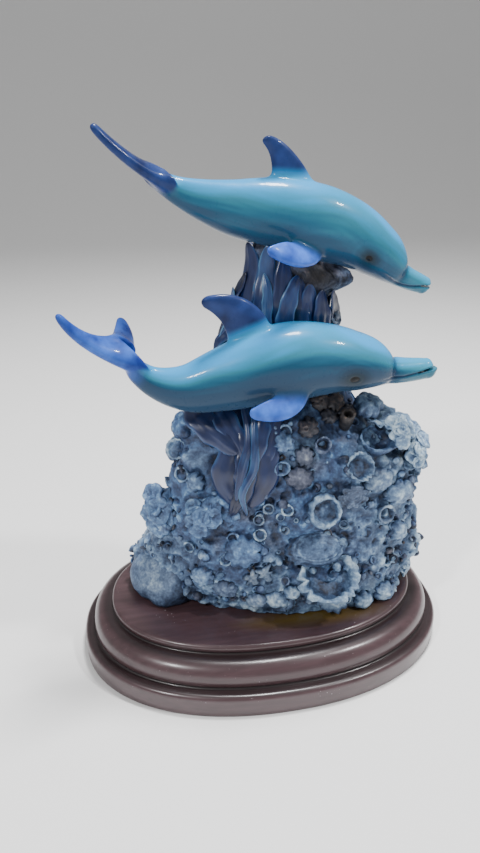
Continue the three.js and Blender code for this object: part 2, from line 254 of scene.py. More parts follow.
def finishPiece(item, material, slotName, *nodes):
    # smooth shading, the material, the piece hung on the root body and the CAD parts it stands for
    # hidden
    item.data.materials.clear()
    item.data.materials.append(material)
    item.data.polygons.foreach_set("use_smooth", np.ones(len(item.data.polygons), bool))
    item.data.update()
    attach(item, "root")
    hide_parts(*nodes)
    print(item.name, len(item.data.loops) - 2 * len(item.data.polygons), "triangles")


# Material helpers


def toLinear(hexColour):
    # sRGB to linear light: c / 12.92 below 0.04045, else ((c + 0.055) / 1.055) ^ 2.4
    values = [int(hexColour[i:i + 2], 16) / 255 for i in (1, 3, 5)]
    return [c / 12.92 if c <= 0.04045 else ((c + 0.055) / 1.055) ** 2.4 for c in values] + [1.0]


def findSocket(sockets, name):
    # sockets for the data types not in use share the name and are switched off
    if isinstance(name, int):
        return sockets[name]
    return next(socket for socket in sockets if socket.enabled and name in ("", socket.name))


def addNode(tree, kind, settings=None, links=None, out=""):
    # adds a node with its settings and incoming links, and hands back one of its outputs
    node = tree.nodes.new("ShaderNode" + kind)
    for name, value in (settings or {}).items():
        if name == "stops":
            for _ in value[2:]:
                node.color_ramp.elements.new(0.5)
            for stop, (place, colour) in zip(node.color_ramp.elements, value):
                stop.position = place
                stop.color = toLinear(colour) if isinstance(colour, str) else [colour] * 3 + [1]
        elif isinstance(name, str) and name.islower():
            setattr(node, name, value)
        else:
            findSocket(node.inputs, name).default_value = value
    for name, socket in (links or {}).items():
        tree.links.new(socket, findSocket(node.inputs, name))
    return findSocket(node.outputs, out)


def newMaterial(name, settings):
    # a material whose shader has these constants on its own sockets
    material = bpy.data.materials.new(name)
    material.use_nodes = True
    shader = material.node_tree.nodes["Principled BSDF"]
    for socket, value in settings.items():
        shader.inputs[socket].default_value = value
    return material, material.node_tree


def feedShader(tree, links):
    # joins each socket to the shader's input of that name
    for name, socket in links.items():
        tree.links.new(socket, tree.nodes["Principled BSDF"].inputs[name])


def readAttribute(tree, name):
    # the number painted on the points under this name
    return addNode(tree, "Attribute", {"attribute_name": name}, out="Fac")


# Plinth: a profile of inset and height carried round a superellipse

plinth = {
    "length": 180.0,
    "width": 124.0,
    "power": 2.2,
    "chamfer": 0.6,
    "slab": 10.6,
    "slabRound": 2.4,
    "ledge": 2.6,
    "cushionSide": 3.5,
    "cushion": 11.0,
    "cushionRound": 7.0,
    "shelf": 2.4,
    "step": 4.2,
    "stepRound": 1.7,
    "groove": 0.7,  # fine line between two mouldings
    "footTintPlace": (18, -32),
    "footTintSize": (34, 7),
    "sides": 288,
}
plinthTop = plinth["slab"] + plinth["cushion"] + plinth["step"]


def quarterRound(inset, height, run, rise, steps=12):
    # inset + run (1 - cos a), height + rise sin a, for a from 0 to a right angle
    a = np.linspace(0, np.pi / 2, steps)
    return np.stack([inset + run * (1 - np.cos(a)), height + rise * np.sin(a)], 1)


def makePlinth(material):
    # x = (L/2 - inset) sgn(cos a) |cos a|^(2/p), y alike with the width and sin a; the profile goes
    # up the slab, in along its ledge, over the round cushion and the step to the middle of the top
    k = plinth
    cushionInset = k["slabRound"] + k["ledge"]
    stepInset = cushionInset + k["cushionRound"] + k["shelf"]
    cushionTop = k["slab"] + k["cushion"]
    g = k["groove"]
    profile = np.vstack([
        [[k["chamfer"] + 20, 0], [k["chamfer"], 0], [0.15, 0.2], [0, k["chamfer"]], [0, 3.0]],
        quarterRound(0, k["slab"] - k["slabRound"], k["slabRound"], k["slabRound"]),
        [[cushionInset - 1.2, k["slab"]], [cushionInset - 0.3, k["slab"] - 0.1]],
        [[cushionInset + 0.2 * g, k["slab"] + 0.1], [cushionInset + g, k["slab"] + 0.6]],
        [[cushionInset + 0.5 * g, k["slab"] + 1.1], [cushionInset, k["slab"] + 1.6]],
        quarterRound(cushionInset, k["slab"] + k["cushionSide"], k["cushionRound"],
                     k["cushion"] - k["cushionSide"], 16),
        [[stepInset - 1.0, cushionTop], [stepInset - 0.2, cushionTop - 0.1]],
        [[stepInset + 0.2 * g, cushionTop + 0.1], [stepInset + 0.8 * g, cushionTop + 0.5]],
        [[stepInset + 0.4 * g, cushionTop + 0.9], [stepInset, cushionTop + 1.4]],
        quarterRound(stepInset, plinthTop - k["stepRound"], k["stepRound"], k["stepRound"]),
        [[stepInset + inset, plinthTop] for inset in (4, 8, 14, 22, 32, 44)],
    ])
    a = np.linspace(0, 2 * np.pi, k["sides"], endpoint=False)
    c, s = np.cos(a), np.sin(a)
    power = 2 / k["power"]
    inset = profile[:, :1]
    rings = np.stack([
        (k["length"] / 2 - inset) * np.sign(c) * np.abs(c) ** power,
        (k["width"] / 2 - inset) * np.sign(s) * np.abs(s) ** power,
        np.broadcast_to(profile[:, 1:], (len(profile), k["sides"])),
    ], -1)
    item = newObject("plinth_wood", skinOf(rings))
    points = readPoints(item.data)
    # painted shade: darker bands in the grooves over the slab and over the cushion, round the outer
    # part
    crease = np.zeros(len(points))
    reach = np.hypot(points[:, 0] / (k["length"] / 2), points[:, 1] / (k["width"] / 2))
    for height in (k["slab"] + 0.4, cushionTop + 0.4):
        crease += np.exp(-((points[:, 2] - height) / 0.9) ** 2) * (reach > 0.7)
    # an ochre tint on the top, along the reef's front foot
    (x, y), (wide, deep) = k["footTintPlace"], k["footTintSize"]
    stain = np.exp(-(((points[:, 0] - x) / wide) ** 2 + ((points[:, 1] - y) / deep) ** 2))
    stain *= smoothStep(plinthTop - 0.5, plinthTop, points[:, 2])
    paintValues(item.data, crease=np.clip(crease, 0, 1), stain=stain)
    finishPiece(item, material, "plinth_lacquer", "plinth")


def lacquerMaterial():
    # turned wood under a brown satin lacquer: deep colour, soft sheen, pale dust in the hollows
    material, tree = newMaterial("satin lacquered wood", {
        "Coat Weight": 0.35, "Coat Roughness": 0.18})
    place = addNode(tree, "TexCoord", out="Object")
    # pattern scales are 1000 over the size in mm: streaks 17 mm long and 2.4 mm wide, clouds 18 mm
    grain = addNode(tree, "Mapping", {"Scale": (60, 420, 420)}, {"Vector": place})
    streak = addNode(tree, "TexNoise", {"Scale": 1.0, "Detail": 4.0}, {"Vector": grain})
    paint = addNode(tree, "ValToRGB", {"stops": [(0.3, "#38272a"), (0.75, "#4b363a")]},
                    {"Fac": streak})
    cloud = addNode(tree, "TexNoise", {"Scale": 55.0, "Detail": 5.0}, {"Vector": place})
    cloudy = addNode(tree, "Math", {"operation": "MULTIPLY", 1: 0.35}, {0: cloud})
    # real dust is too fine to show, so its specks are 0.9 mm apart, in patches of 11 mm
    specks = addNode(tree, "TexNoise", {"Scale": 1100.0, "Detail": 1.0}, {"Vector": place})
    speck = addNode(tree, "Math", {"operation": "MULTIPLY_ADD", 1: 22.0, 2: -16.2}, {0: specks})
    patches = addNode(tree, "TexNoise", {"Scale": 90.0, "Detail": 2.0}, {"Vector": place})
    patch = addNode(tree, "Math", {"operation": "MULTIPLY_ADD", 1: 5.0, 2: -2.6, "use_clamp": True},
                    {0: patches})
    dust = addNode(tree, "Math", {"operation": "MULTIPLY", "use_clamp": True}, {0: speck, 1: patch})
    stain = addNode(tree, "Math", {"operation": "MULTIPLY_ADD", 1: 1.6, 2: -0.3, "use_clamp": True},
                    {0: readAttribute(tree, "stain")})
    # clouds in the lacquer, dust, painted shade in the grooves and the ochre tint along the reef's
    # foot, each over the last
    for colour, share in (("#5a464b", cloudy), ("#b9aeb2", dust),
                          ("#1a1113", readAttribute(tree, "crease")), ("#5b4a22", stain)):
        paint = addNode(tree, "Mix", {"data_type": "RGBA", "B": toLinear(colour)},
                        {"Factor": share, "A": paint})
    rough = addNode(tree, "MapRange", {"To Min": 0.24, "To Max": 0.42}, {"Value": cloud})
    bump = addNode(tree, "Bump", {"Strength": 0.12, "Distance": 0.4 * mm}, {"Height": streak})
    feedShader(tree, {"Base Color": paint, "Roughness": rough, "Normal": bump})
    return material


makePlinth(lacquerMaterial())

# Dolphins: ellipse sections along a spine, and lens sections between two edges for each fin

reef = {"length": 136.0, "width": 66.0, "height": 166.0}
fit = {"gap": 0.3, "seat": 3.0, "belly": 0.106, "flank": 0.1}
reefBase = plinthTop + fit["gap"]


def reefPoint(x, y, z):
    # shares of the reef's length, width and height, from the middle of its foot
    return np.array([x * reef["length"], y * reef["width"], reefBase + z * reef["height"]])


# place along the body, half depth above and below the spine, half width: shares of the length
trunkShape = [
    (0, 0.012, 0.013, 0.009),
    (0.035, 0.029, 0.032, 0.021),
    (0.09, 0.039, 0.042, 0.027),
    (0.19, 0.06, 0.062, 0.045),
    (0.3, 0.083, 0.084, 0.066),
    (0.41, 0.1, 0.1, 0.084),
    (0.52, 0.11, 0.111, 0.096),
    (0.63, 0.115, 0.116, 0.103),
    (0.74, 0.106, 0.106, 0.1),
    (0.84, 0.092, 0.091, 0.091),
    (0.91, 0.08, 0.078, 0.08),
    (0.955, 0.065, 0.064, 0.069),
    (0.985, 0.05, 0.053, 0.056),
    (1, 0.04, 0.048, 0.046),
]
beakShape = [
    (0.2, 0.0345, 0.042, 0.041),
    (0.5, 0.033, 0.036, 0.034),
    (0.75, 0.0315, 0.03, 0.029),
    (0.93, 0.026, 0.0235, 0.022),
    (1, 0.012, 0.011, 0.01),
]

upper = {
    "name": "upper_dolphin",
    "length": 128.0,
    "girth": 1.0,
    "crown": 1.0,  # height of the back over the spine, as a share of the table's
    "place": reefPoint(0.088, 0, 1) + (0, 0, fit["belly"] * 128.0 - fit["seat"]),
    "beak": 0.125,
    "jawDrop": 0.0,
    "spine": [
        (-0.445, 0.04, 0.118), (-0.36, 0.03, 0.07), (-0.207, 0.01, 0.022), (-0.016, 0, -0.006),
        (0.181, 0, -0.066), (0.28, 0, -0.125), (0.368, 0, -0.196), (0.476, 0, -0.252),
    ],
    "fins": [
        {"lead": [(0.075, 0, 0.065), (-0.02, 0, 0.216), (-0.094, 0, 0.224)],
         "trail": [(-0.105, 0, 0.065), (-0.05, 0, 0.15), (-0.113, 0, 0.208)],
         "thick": 0.04},
        {"lead": [(0.087, -0.05, -0.125), (-0.003, -0.18, -0.172), (-0.123, -0.16, -0.102)],
         "trail": [(-0.018, -0.06, -0.08), (-0.078, -0.15, -0.06), (-0.126, -0.16, -0.08)],
         "thick": 0.034},
        {"lead": [(0.087, 0.05, -0.125), (-0.003, 0.18, -0.172), (-0.123, 0.16, -0.102)],
         "trail": [(-0.018, 0.06, -0.08), (-0.078, 0.15, -0.06), (-0.126, 0.16, -0.08)],
         "thick": 0.034},
        {"lead": [(-0.37, 0.005, 0.065), (-0.51, -0.06, 0.138), (-0.618, -0.035, 0.246)],
         "trail": [(-0.46, 0.04, 0.15), (-0.53, 0.02, 0.18), (-0.592, -0.025, 0.264)],
         "thick": 0.044},
        {"lead": [(-0.4, 0.06, 0.09), (-0.435, 0.15, 0.1), (-0.515, 0.19, 0.155)],
         "trail": [(-0.47, 0.04, 0.135), (-0.495, 0.1, 0.145), (-0.535, 0.175, 0.17)],
         "thick": 0.04},
    ],
    # how high the mouth runs over the spine, by place along the body, in millimetres
    "mouthLine": [(0.79, -6.0), (0.84, -5.2), (0.88, -4.4), (0.92, -2.9), (0.96, -0.6), (1, 1.2)],
    "mouth": {"corner": 0.965, "gap": 0.007, "retreat": 0.0},
    "eye": (0.728, -0.42),  # place along the body, height on the flank
    "eyeSize": 1.05,
    "flukeTone": 0.05,  # 0 for navy, 1 for bright violet-blue
    "rings": 0.15,  # how strongly strokes are drawn round the eye
    "paintedFlankShade": 0.0,  # painted shade: how far the dark of the belly rises up the flank
}
lower = {
    "name": "lower_dolphin",
    "length": 128.0,
    "girth": 1.15,
    "crown": 0.93,
    "place": reefPoint(0.07, -0.09, 0.73) + (0, fit["seat"] - fit["flank"] * 1.15 * 128.0, 0),
    "beak": 0.16,
    "jawDrop": 0.001,
    "spine": [
        (-0.54, 0.025, 0.02), (-0.46, 0.01, -0.045), (-0.36, 0, -0.07), (-0.23, 0, -0.048),
        (-0.08, 0, -0.008), (0.1, 0, -0.002), (0.22, 0, -0.022), (0.33, 0, -0.052),
        (0.487, 0, -0.062),
    ],
    "fins": [
        {"lead": [(-0.065, 0, 0.075), (-0.135, 0, 0.25), (-0.3, 0, 0.211)],
         "trail": [(-0.23, 0, 0.03), (-0.205, 0, 0.135), (-0.304, 0, 0.184)],
         "thick": 0.046},
        {"lead": [(0.038, -0.07, -0.072), (-0.025, -0.17, -0.184), (-0.177, -0.13, -0.138)],
         "trail": [(-0.065, -0.07, -0.076), (-0.14, -0.15, -0.083), (-0.181, -0.13, -0.112)],
         "thick": 0.038},
        {"lead": [(-0.47, 0, -0.035), (-0.7, -0.05, 0.08), (-0.735, -0.035, 0.188)],
         "trail": [(-0.575, 0.05, 0.1), (-0.65, -0.01, 0.105), (-0.712, -0.03, 0.198)],
         "thick": 0.046},
        {"lead": [(-0.52, 0.05, 0.015), (-0.493, 0.16, 0.055), (-0.536, 0.21, 0.11)],
         "trail": [(-0.58, 0.05, 0.1), (-0.576, 0.13, 0.078), (-0.562, 0.2, 0.122)],
         "thick": 0.044},
    ],
    "mouthLine": [(0.78, -4.2), (0.83, -2.6), (0.88, -1.5), (0.93, -0.2), (0.97, 0.9), (1, 1.4)],
    "mouth": {"corner": 0.93, "gap": 0.01, "retreat": 1.6},
    "eye": (0.705, -0.36),
    "eyeSize": 1.4,
    "flukeTone": 0.75,
    "rings": 0.5,
    "paintedFlankShade": 0.3,
}
dolphinMake = {"rows": 260, "around": 96, "finRows": 60, "finAround": 40, "voxel": 0.42,
               "fillet": 55, "soften": 6}


def bodyLines(pose):
    # centre, forward, side and top directions and half sizes at even steps along the spine
    size = pose["length"]
    centre = followCurve(np.array(pose["spine"]) * size + pose["place"], dolphinMake["rows"])
    forward = unit(np.gradient(centre, axis=0))
    side = unit(np.cross((0, 0, 1), forward))
    top = np.cross(forward, side)
    crease = 1 - pose["beak"]
    rows = [(t * crease, a * pose["crown"], b, w) for t, a, b, w in trunkShape]
    rows += [(crease + t * pose["beak"], a, b + pose["jawDrop"], w) for t, a, b, w in beakShape]
    along = np.linspace(0, 1, len(centre))
    half = smoothRead(rows, along) * pose["girth"] * size
    return {"along": along, "centre": centre, "forward": forward, "side": side, "top": top,
            "half": half}


def bodyRings(lines):
    # centre + side w cos a + top (above or below) sin a
    a = np.linspace(0, 2 * np.pi, dolphinMake["around"], endpoint=False)
    above, below, wide = (lines["half"][:, k, None] for k in range(3))
    rise = np.where(np.sin(a) > 0, above, below) * np.sin(a)
    spread = wide * np.cos(a)
    return (lines["centre"][:, None] + lines["side"][:, None] * spread[..., None]
            + lines["top"][:, None] * rise[..., None])


def curveThree(points, u):
    # quadratic Bezier: (1-u)^2 A + 2u(1-u) B + u^2 C
    a, b, c = (np.array(p, float) for p in points)
    u = u[:, None]
    return (1 - u) ** 2 * a + 2 * u * (1 - u) * b + u ** 2 * c


def finRings(fin, pose):
    # middle + chord cos a + normal thickness sin a, closed round at the tip and flared at the root
    u = 1 - (1 - np.linspace(0, 1, dolphinMake["finRows"])) ** 1.5
    size = pose["length"]
    front = curveThree(fin["lead"], u) * size + pose["place"]
    back = curveThree(fin["trail"], u) * size + pose["place"]
    middle, chord = (front + back) / 2, (front - back) / 2
    along = unit(np.gradient(middle, axis=0))
    normal = unit(np.cross(along, chord))
    reach = np.linalg.norm(np.diff(middle, axis=0), axis=1).sum()
    blunt = 1.1 * np.linalg.norm(chord[-1]) / reach
    tip = np.sqrt(np.clip(1.001 - np.clip((u - 1 + blunt) / blunt, 0, 1) ** 2, 0, 1))[:, None]
    flare = (1 + 0.9 * np.exp(-u / 0.09))[:, None]
    half = size * fin["thick"] / 2 * (1 - 0.45 * u)[:, None] * tip * flare
    a = np.linspace(0, 2 * np.pi, dolphinMake["finAround"], endpoint=False)
    rise = np.sign(np.sin(a)) * np.abs(np.sin(a)) ** 0.8  # blunter edges than an ellipse
    lens = rise * (1 + 0.3 * np.cos(a)) / 1.05  # fuller at the leading edge
    return (middle[:, None] + (chord * tip)[:, None] * np.cos(a)[:, None]
            + (normal * half)[:, None] * lens[:, None])


def mouthWedge(lines, pose):
    # a thin wedge along the mouth's line, from the corner to past the tip of the beak
    reach = 0.3 * pose["beak"] * pose["length"]
    ends = []
    for place in (pose["mouth"]["corner"], 1.0):
        row = int(place * (len(lines["along"]) - 1))
        rise = smoothRead(pose["mouthLine"], lines["along"][row:row + 1])[0]
        ends.append(lines["centre"][row] + lines["top"][row] * rise)
    hinge, tip = ends
    run = unit(tip - hinge)
    far = tip + run * reach
    rise = lines["top"][-1] * pose["mouth"]["gap"] * pose["length"] * 0.6
    wide = lines["side"][-1] * pose["length"] * 0.08
    points = np.array([hinge - wide, far - rise - wide, far + rise - wide,
                       hinge + wide, far - rise + wide, far + rise + wide])
    quads = np.array([[1, 4, 5, 2], [0, 2, 5, 3], [0, 3, 4, 1]])
    tris = np.array([[0, 1, 2], [3, 5, 4]])
    return points, quads, tris


def bodyPlaces(points, lines):
    # nearest spine station of each point, with its height and width there as shares of the section
    nearest, gap = nearestOf(points, lines["centre"])
    offset = points - lines["centre"][nearest]
    rise = (offset * lines["top"][nearest]).sum(1)
    spread = (offset * lines["side"][nearest]).sum(1)
    above, below, wide = (lines["half"][nearest, k] for k in range(3))
    height = rise / np.where(rise > 0, above, below)
    across = spread / wide
    return lines["along"][nearest], height, across


def carveFace(points, normals, lines, pose):
    # a small lidded eye in a shallow socket, the crease round the melon, the lips and the blowhole
    along, height, across = bodyPlaces(points, lines)
    row = (along * (len(lines["along"]) - 1)).astype(int)
    rise = height * np.where(height > 0, lines["half"][row, 0], lines["half"][row, 1])
    place, level = pose["eye"]
    at = int(place * (len(lines["along"]) - 1))
    half = lines["half"][at]
    wide = np.sqrt(1 - level ** 2)
    eye = np.full(len(points), 99.0)
    for turn in (-1, 1):
        middle = (lines["centre"][at] + lines["side"][at] * turn * wide * half[2]
                  + lines["top"][at] * level * half[1])
        offset = points - middle
        forth = offset @ lines["forward"][at]
        up = offset @ lines["top"][at]
        deep = offset @ lines["side"][at]
        eye = np.minimum(eye, np.sqrt((forth / 1.45) ** 2 + up ** 2 + (deep * 0.4) ** 2))
    gap = eye / pose["eyeSize"]
    move = 0.22 * np.clip(1 - (gap / 0.95) ** 2, 0, 1) - 0.4 * np.exp(-(gap / 2.0) ** 2)
    move += 0.1 * np.exp(-((gap - 1.4) / 0.3) ** 2)
    move *= pose["eyeSize"]
    front = smoothStep(-0.75, 0.2, height)
    move -= 0.42 * np.exp(-((along - 1 + pose["beak"] - 0.006) / 0.011) ** 2) * front
    line = smoothRead(pose["mouthLine"], along)[:, 0]
    lips = smoothStep(0.79, 0.85, along) * smoothStep(0.35, 0.7, np.abs(across))
    move -= 0.5 * lips * np.exp(-((rise - line) / 0.42) ** 2)
    move += 0.16 * lips * np.exp(-((np.abs(rise - line) - 1.1) / 0.4) ** 2)
    blow = np.exp(-(((along - place - 0.01) / 0.008) ** 2 + (across / 0.12) ** 2)) * (height > 0.6)
    move -= 0.5 * blow
    points = points + normals * move[:, None]
    pull = pose["mouth"]["retreat"] * smoothStep(0.93, 1, along) * (rise > line)
    return points - lines["forward"][row] * pull[:, None], eye, rise - line


def relax(mesh, points, weight, rounds):
    # each point moves half way to the mean of its neighbours, as much as its weight says
    ends = np.empty(len(mesh.edges) * 2, np.int32)
    mesh.edges.foreach_get("vertices", ends)
    a, b = ends.reshape(-1, 2).T
    near, far = np.r_[a, b], np.r_[b, a]
    count = np.bincount(near, minlength=len(points))[:, None]
    for _ in range(rounds):
        total = np.stack([np.bincount(near, points[far, k], len(points)) for k in range(3)], 1)
        points = points + 0.5 * weight[:, None] * (total / count - points)
    return points


def makeDolphin(pose, material, slotName):
    # trunk and fins fused to one skin, its roots relaxed to fillets, the mouth cut and the face
    # carved; then the numbers that the paint reads: height round the body, fin, eye and strokes
    lines = bodyLines(pose)
    rings = [bodyRings(lines)] + [finRings(fin, pose) for fin in pose["fins"]]
    item = newObject(pose["name"] + "_cast", joinSkins([skinOf(r) for r in rings]))
    remesh = item.modifiers.new("fuse", "REMESH")
    remesh.mode = "VOXEL"
    remesh.voxel_size = dolphinMake["voxel"] * mm
    bakeModifiers(item)
    points = readPoints(item.data)
    along, height, across = bodyPlaces(points, lines)
    root = np.exp(-((np.hypot(height, across) - 1.08) / 0.16) ** 2)
    root = np.maximum(root, smoothStep(0.12, 0.05, along)) * smoothStep(0.88, 0.8, along)
    crease = np.exp(-((along - 1 + pose["beak"]) / 0.014) ** 2)
    root = np.maximum(root, 0.5 * crease * (height > 0))
    writePoints(item.data, relax(item.data, points, root, dolphinMake["fillet"]))
    cutter = newObject("mouth", mouthWedge(lines, pose))
    cut = item.modifiers.new("mouth", "BOOLEAN")
    cut.operation = "DIFFERENCE"
    cut.solver = "EXACT"
    cut.object = cutter
    soften = item.modifiers.new("soften", "SMOOTH")
    soften.factor = 0.5
    soften.iterations = dolphinMake["soften"]
    bakeModifiers(item)
    bpy.data.objects.remove(cutter)
    points, eye, lip = carveFace(readPoints(item.data), readNormals(item.data), lines, pose)
    writePoints(item.data, points)
    along, height, across = bodyPlaces(points, lines)
    outside = np.hypot(height, across)
    fin = smoothStep(1.02, 1.35, outside) * smoothStep(0.86, 0.82, along)
    fin = np.maximum(fin, smoothStep(0.09, 0.01, along))
    bright = np.where(along < 0.14, pose["flukeTone"], np.where(height > 0, 0.0, 1.0))
    shade = np.clip(height / np.maximum(outside, 1), -1, 1) * 0.5 + 0.5
    # painted shade: the dark of the belly carried further up the flank
    shade -= pose["paintedFlankShade"] * smoothStep(0.8, 0.5, shade) * smoothStep(0.0, 0.3, shade)
    stretched = np.stack([along * 7, height * 4.5 + 0.5 * np.sin(along * 19), across * 0.5], 1)
    strokes = layeredNoise(stretched, 1.0, 3, 53.0)
    rings = np.cos(eye * 3.4 + 3 * strokes) * np.exp(-(eye / 6.5) ** 2) * smoothStep(1.5, 3, eye)
    strokes = strokes + pose["rings"] * rings
    # painted shade along the lips and in the crease behind the melon
    lips = np.exp(-(lip / 0.55) ** 2) * smoothStep(0.8, 0.86, along)
    lips *= smoothStep(0.3, 0.6, np.abs(across))
    fold = np.exp(-((along - 1 + pose["beak"] + 0.004) / 0.016) ** 2)
    fold *= smoothStep(-0.9, -0.1, height)
    paintValues(item.data, height=np.clip(shade, 0, 1), along=along, fin=fin, bright=bright,
                eye=np.clip(eye / pose["eyeSize"] / 5, 0, 1),
                strokes=np.clip(0.5 + 0.5 * strokes, 0, 1),
                fold=np.clip(np.maximum(lips, 0.85 * fold), 0, 1))
    finishPiece(item, material, slotName, pose["name"])


def dolphinMaterial():
    # airbrushed enamel on cast resin under a clear gloss coat: soft bands of blue, drawn streaks
    material, tree = newMaterial("gloss enamel on cast resin", {
        "Specular IOR Level": 0.08, "Coat Weight": 0.6, "Coat IOR": 1.24, "Coat Roughness": 0.06})
    eye = readAttribute(tree, "eye")
    place = addNode(tree, "TexCoord", out="Object")
    # specks in the enamel 2 mm apart, and tones of the fins 9 mm apart
    speck = addNode(tree, "TexNoise", {"Scale": 500.0, "Detail": 3.0}, {"Vector": place})
    moved = addNode(tree, "Math", {"operation": "MULTIPLY_ADD", 1: 0.44, 2: -0.22},
                    {0: readAttribute(tree, "strokes")})
    level = addNode(tree, "Math", {"operation": "ADD", "use_clamp": True},
                    {0: readAttribute(tree, "height"), 1: moved})
    band = addNode(tree, "ValToRGB", {"stops": [  # from the belly to the back: two-tone paint, its dark belly end partly painted shade
        (0.0, "#2a435c"), (0.12, "#27435d"), (0.28, "#244c66"), (0.45, "#2b607a"),
        (0.6, "#317489"), (0.78, "#2c83ab"), (1.0, "#2f8fca"),
    ]}, {"Fac": level})
    finTone = addNode(tree, "TexNoise", {"Scale": 110.0, "Detail": 3.0}, {"Vector": place})
    navy = addNode(tree, "ValToRGB", {"stops": [(0.3, "#172143"), (0.7, "#2c4076")]},
                   {"Fac": finTone})
    violet = addNode(tree, "ValToRGB", {"stops": [(0.32, "#20398c"), (0.68, "#4a7ade")]},
                     {"Fac": finTone})
    fins = addNode(tree, "Mix", {"data_type": "RGBA"},
                   {"Factor": readAttribute(tree, "bright"), "A": navy, "B": violet})
    paint = addNode(tree, "Mix", {"data_type": "RGBA"},
                    {"Factor": readAttribute(tree, "fin"), "A": band, "B": fins})
    beak = addNode(tree, "MapRange", {"From Min": 0.84, "From Max": 0.92, "To Max": 0.4},
                   {"Value": readAttribute(tree, "along")})
    ring = addNode(tree, "ValToRGB", {"stops": [(0.23, 0.0), (0.27, 0.3), (0.34, 0.2), (0.4, 0.0)]},
                   {"Fac": eye})
    # painted shade: the eye's socket darkened round the eye
    socket = addNode(tree, "MapRange", {"From Min": 0.95, "From Max": 0.3, "To Max": 0.9},
                     {"Value": eye})
    pupil = addNode(tree, "MapRange", {"From Min": 0.24, "From Max": 0.19}, {"Value": eye})
    # the beak, the eye's ring, the painted shade of the socket and of the creases, and the pupil,
    # each over the last
    for colour, share in (("#3f93a8", beak), ("#5f8a8c", ring), ("#122330", socket),
                          ("#173050", readAttribute(tree, "fold")), ("#040508", pupil)):
        paint = addNode(tree, "Mix", {"data_type": "RGBA", "B": toLinear(colour)},
                        {"Factor": share, "A": paint})
    rough = addNode(tree, "MapRange", {"To Min": 0.2, "To Max": 0.4}, {"Value": speck})
    bump = addNode(tree, "Bump", {"Strength": 0.12, "Distance": 0.3 * mm}, {"Height": speck})
    feedShader(tree, {"Base Color": paint, "Roughness": rough, "Normal": bump})
    return material


enamel = dolphinMaterial()
makeDolphin(upper, enamel, "dolphin_gloss")
makeDolphin(lower, enamel, "dolphin_gloss")

# Reef: a lumpy cone of rock, with corals set on it and kelp up its column, all one casting

# height, then left, right, front and back edges and the skew, as shares of the reef's size
rockShape = [
    (0, -0.46, 0.51, -0.43, 0.5, 0.2),
    (0.06, -0.475, 0.52, -0.445, 0.51, 0.19),
    (0.13, -0.46, 0.535, -0.44, 0.48, 0.15),
    (0.19, -0.41, 0.535, -0.42, 0.45, 0.11),
    (0.27, -0.35, 0.535, -0.39, 0.41, 0.07),
    (0.35, -0.325, 0.545, -0.37, 0.36, 0.04),
    (0.42, -0.3, 0.53, -0.33, 0.33, 0.02),
    (0.48, -0.285, 0.43, -0.3, 0.3, 0),
    (0.54, -0.26, 0.36, -0.24, 0.27, 0),
    (0.6, -0.19, 0.3, -0.13, 0.24, 0),
    (0.69, -0.145, 0.235, -0.09, 0.21, 0),
    (0.78, -0.12, 0.225, -0.08, 0.2, 0),
    (0.87, -0.075, 0.225, -0.09, 0.18, 0),
    (0.89, -0.065, 0.28, -0.09, 0.175, 0),
    (0.925, -0.05, 0.265, -0.085, 0.165, 0),
    (0.94, -0.045, 0.24, -0.08, 0.16, 0),
    (1, -0.04, 0.225, -0.06, 0.13, 0),
]
rock = {
    "around": 400,
    "rows": 246,
    "crowded": 0.4,  # how much closer the columns stand at the front
    "swell": 0.07,
    "lump": 1.5,
    "lumpSize": 15.0,
    "crack": 0.8,
    "crackSize": 8.0,
    "grit": 0.9,
    "gritSize": 3.2,
    "stamps": 900,
    "stampSize": (1.2, 3.4),
    "mottled": (318, 275),  # pixel of the photo at the middle of the brown patch
}


def rockAt(a, h):
    # superposed ellipse rings: mid + half cos a, mid + half sin a - skew cos a, times the swell
    left, right, front, back, skew = np.moveaxis(smoothRead(rockShape, h), -1, 0)
    swell = (0.5 * np.sin(3 * a + 9 * h) + 0.3 * np.sin(7 * a - 23 * h)
             + 0.2 * np.sin(11 * a + 41 * h))
    reach = 1 + rock["swell"] * swell
    x = (left + right) / 2 + (right - left) / 2 * np.cos(a) * reach
    y = (front + back) / 2 + (back - front) / 2 * np.sin(a) * reach - skew * np.cos(a)
    return np.stack([x * reef["length"], y * reef["width"], reefBase + h * reef["height"]], -1)


def stampMoves(points, count, low, high):
    # nodules 1-(d/r)^2, polyps with a raised rim and a sunk middle, and round pits
    seeds = points[rng.integers(0, len(points), count)]
    radius = rng.uniform(low, high, count)
    kind = rng.integers(0, 3, count)
    which, gap = nearestOf(points, seeds)
    share = gap / radius[which]
    nodule = np.clip(1 - share ** 2, 0, 1)
    rim = np.exp(-((share - 0.75) / 0.22) ** 2) - 1.1 * np.exp(-(share / 0.5) ** 2)
    pit = -np.clip(1 - share ** 4, 0, 1) + 0.35 * np.exp(-((share - 1.15) / 0.2) ** 2)
    return np.choose(kind[which], [0.8 * nodule, 0.6 * rim, 0.55 * pit]) * radius[which] ** 0.7


